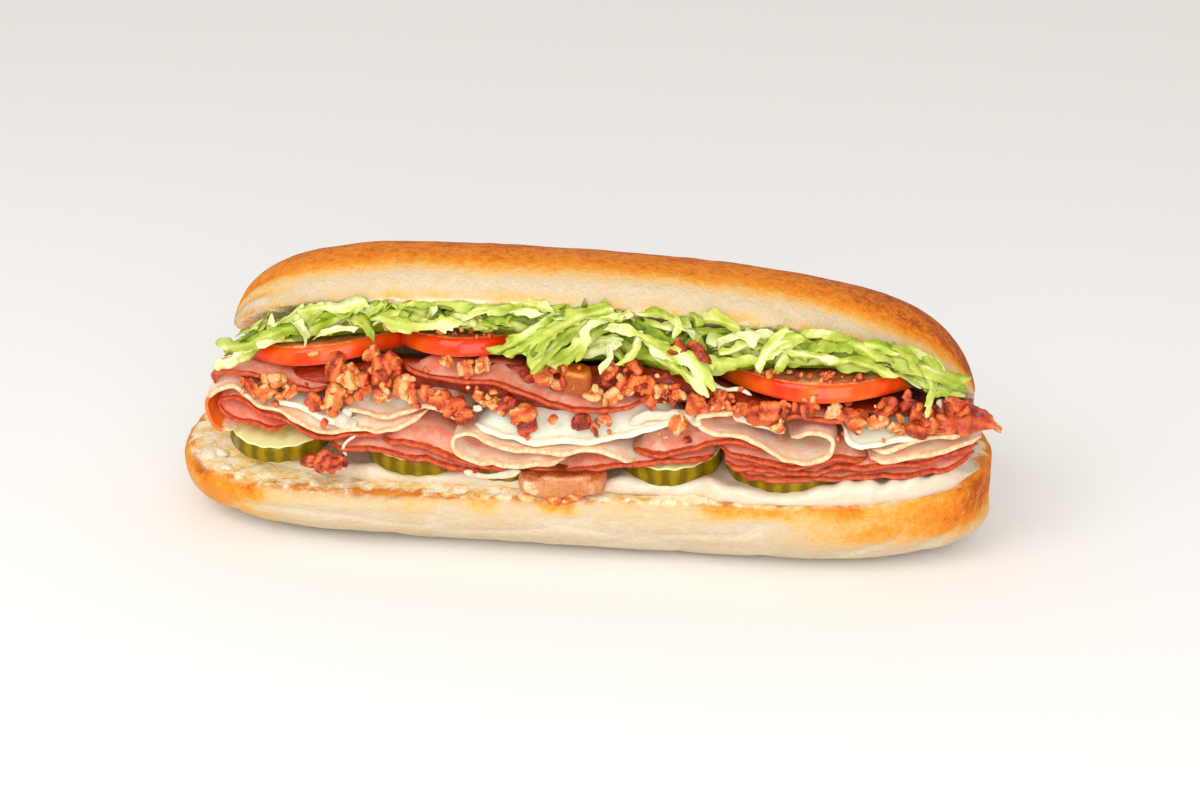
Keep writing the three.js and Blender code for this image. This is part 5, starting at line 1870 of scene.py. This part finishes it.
        # The terms in crinkle and pleats make the green paler and darker with the folds: painted light and
        # shade.
        green = column["green"][..., None] + lean * across + 0.3 * drift(7, 60)[..., None] - 0.16 * crinkle
        green = green + 0.17 * pleats
        green = green - rng.choice((0.0, 0.26), (count, 1, 1)) * bump_at(across, 0.1, 0.3)
        skins = [closed_loft(points[k], {"green": np.clip(green[k], 0, 1)}) for k in range(count)]
        return joined(skins)

    def scattered(self, count: int, seed: int) -> dict[str, Array]:
        """Random shreds between the two lines, mostly level, behind the placed ones."""
        rng = np.random.default_rng(seed)
        x = rng.uniform(-110, 121, count)
        share = rng.beta(1.2, 1.0, count)
        width = rng.uniform(1.6, 4.4, count)
        low = line_height(self.low, x) + width / 2
        z = low + (line_height(self.high, x) - low) * share
        length = rng.uniform(10, 28, count)
        slope = np.interp(x, [-112, -60, 40, 122], [0.45, 0.12, -0.12, -0.5])
        angle = slope + rng.normal(0, 0.4, count)
        half_x = length / 2 * np.cos(angle)
        half_z = length / 2 * np.sin(angle)
        x0 = np.clip(x - half_x, -118, 125)
        x1 = np.clip(x + half_x, -118, 125)

        def inside(px: Array, pz: Array) -> Array:
            """Heights kept between the two lines."""
            return np.clip(pz, line_height(self.low, px) + width / 2, line_height(self.high, px) + 0.5)

        return {
            "x0": x0, "z0": inside(x0, z - half_z), "x1": x1, "z1": inside(x1, z + half_z),
            "bow": rng.normal(0, 1.6, count), "width": width, "out": rng.uniform(-2.0, 2.4, count),
            "green": np.clip(rng.normal(0.5, 0.22, count), 0.02, 0.95),
            "twist": rng.normal(0.1, 0.5, count),
        }

    def placed(self) -> dict[str, Array]:
        """The listed shreds as arrays, kept under the upper line."""
        names = ("x0", "z0", "x1", "z1", "bow", "width", "out", "green")
        paths = dict(zip(names, np.array(self.shreds, float).T))
        paths["twist"] = np.full(len(self.shreds), 0.1)
        for end in "01":
            paths["z" + end] = np.minimum(paths["z" + end], line_height(self.high, paths["x" + end]) + 0.6)
        return paths

    def build(self, kitchen: Kitchen) -> None:
        """Builds the core, coloured dark green as painted shade, and all shreds."""
        material = LettuceFinish().material()
        # The core's green of 0.9, near the darkest stop, is painted shade showing in the gaps between the
        # shreds.
        core = self.core().skin(95, {"green": 0.9})
        kitchen.serve("lettuce_core", core, material, ("lettuce",))
        large = self.ribbons(self.placed(), 9, 60, 13)
        scraps = self.ribbons(self.scattered(150, 8), 8, 34, 7)
        kitchen.serve("lettuce_shreds", large, material, lies_under=False)
        kitchen.serve("lettuce_scraps", scraps, material, lies_under=False)


# ---- the studio


@dataclass(frozen=True)
class Studio:
    """A pale floor, soft light and the camera."""

    azimuth: float = 8.5
    elevation: float = 22.0
    distance: float = 893.0
    lens: float = 80.0
    target: Triple = (6.2, 0.0, 43.5)
    floor_reach: float = 6.0

    def place(self, item: Piece, at: Array, aim: Array) -> None:
        """Puts a lamp or camera at a point, looking at another."""
        item.location = Vector(at)
        item.rotation_euler = (Vector(aim) - Vector(at)).to_track_quat("-Z", "Y").to_euler()
        show(item)

    def camera(self, layout: Layout) -> None:
        """The camera stands in front, a little to the right and above."""
        data = bpy.data.cameras.new("camera")
        data.lens = self.lens
        item = bpy.data.objects.new("camera", data)
        azimuth, elevation = math.radians(self.azimuth), math.radians(self.elevation)
        level = math.cos(elevation)
        away = np.array([level * math.sin(azimuth), -level * math.cos(azimuth), math.sin(elevation)])
        target = np.array(self.target)
        self.place(item, layout.metres(target + away * self.distance), layout.metres(target))
        bpy.context.scene.camera = item

    def lamp(self, name: str, at: Triple, size: float, power: float) -> None:
        """A square soft lamp aimed at the sandwich."""
        data = bpy.data.lights.new(name, "AREA")
        data.size = size
        data.energy = power
        self.place(bpy.data.objects.new(name, data), np.array(at), np.array([0.0, 0.0, 0.04]))

    def floor(self) -> None:
        """A wide pale floor under the sandwich."""
        mesh = bpy.data.meshes.new("floor")
        far = self.floor_reach
        corners = [(-far, -far, 0), (far, -far, 0), (far, far, 0), (-far, far, 0)]
        mesh.from_pydata(corners, [], [(0, 1, 2, 3)])
        item = bpy.data.objects.new("floor", mesh)
        show(item)
        look = Recipe("floor").surface(Base_Color=(0.94, 0.94, 0.94, 1.0), Roughness=0.9)
        mesh.materials.append(look.material)

    def build(self, layout: Layout) -> None:
        """Sets up the whole studio."""
        self.camera(layout)
        self.floor()
        self.lamp("key", (-0.5, -0.85, 0.9), 0.7, 6.2)
        self.lamp("fill", (0.3, -1.2, 0.42), 0.9, 9.4)
        world = bpy.data.worlds.new("studio")
        world.use_nodes = True
        sky = world.node_tree.nodes["Background"]
        sky.inputs["Color"].default_value = (1.0, 0.96, 0.9, 1.0)
        sky.inputs["Strength"].default_value = 0.7
        bpy.context.scene.world = world
        bpy.context.scene.view_settings.view_transform = "Standard"


def main() -> None:
    """Builds every part of the sandwich in order."""
    logging.basicConfig(level=logging.INFO, format="%(name)s: %(message)s")
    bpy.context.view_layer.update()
    layout = Layout.from_roll(ROLL.half_depth)
    kitchen = Kitchen(layout)
    Studio().build(layout)
    for part in (ROLL, Mayonnaise(), Pickles(), Tomatoes(), ColdCuts(), Drips(), Bacon(), Lettuce()):
        part.build(kitchen)
        log.info("%s built", type(part).__name__)


if __name__ == "__main__":
    main()
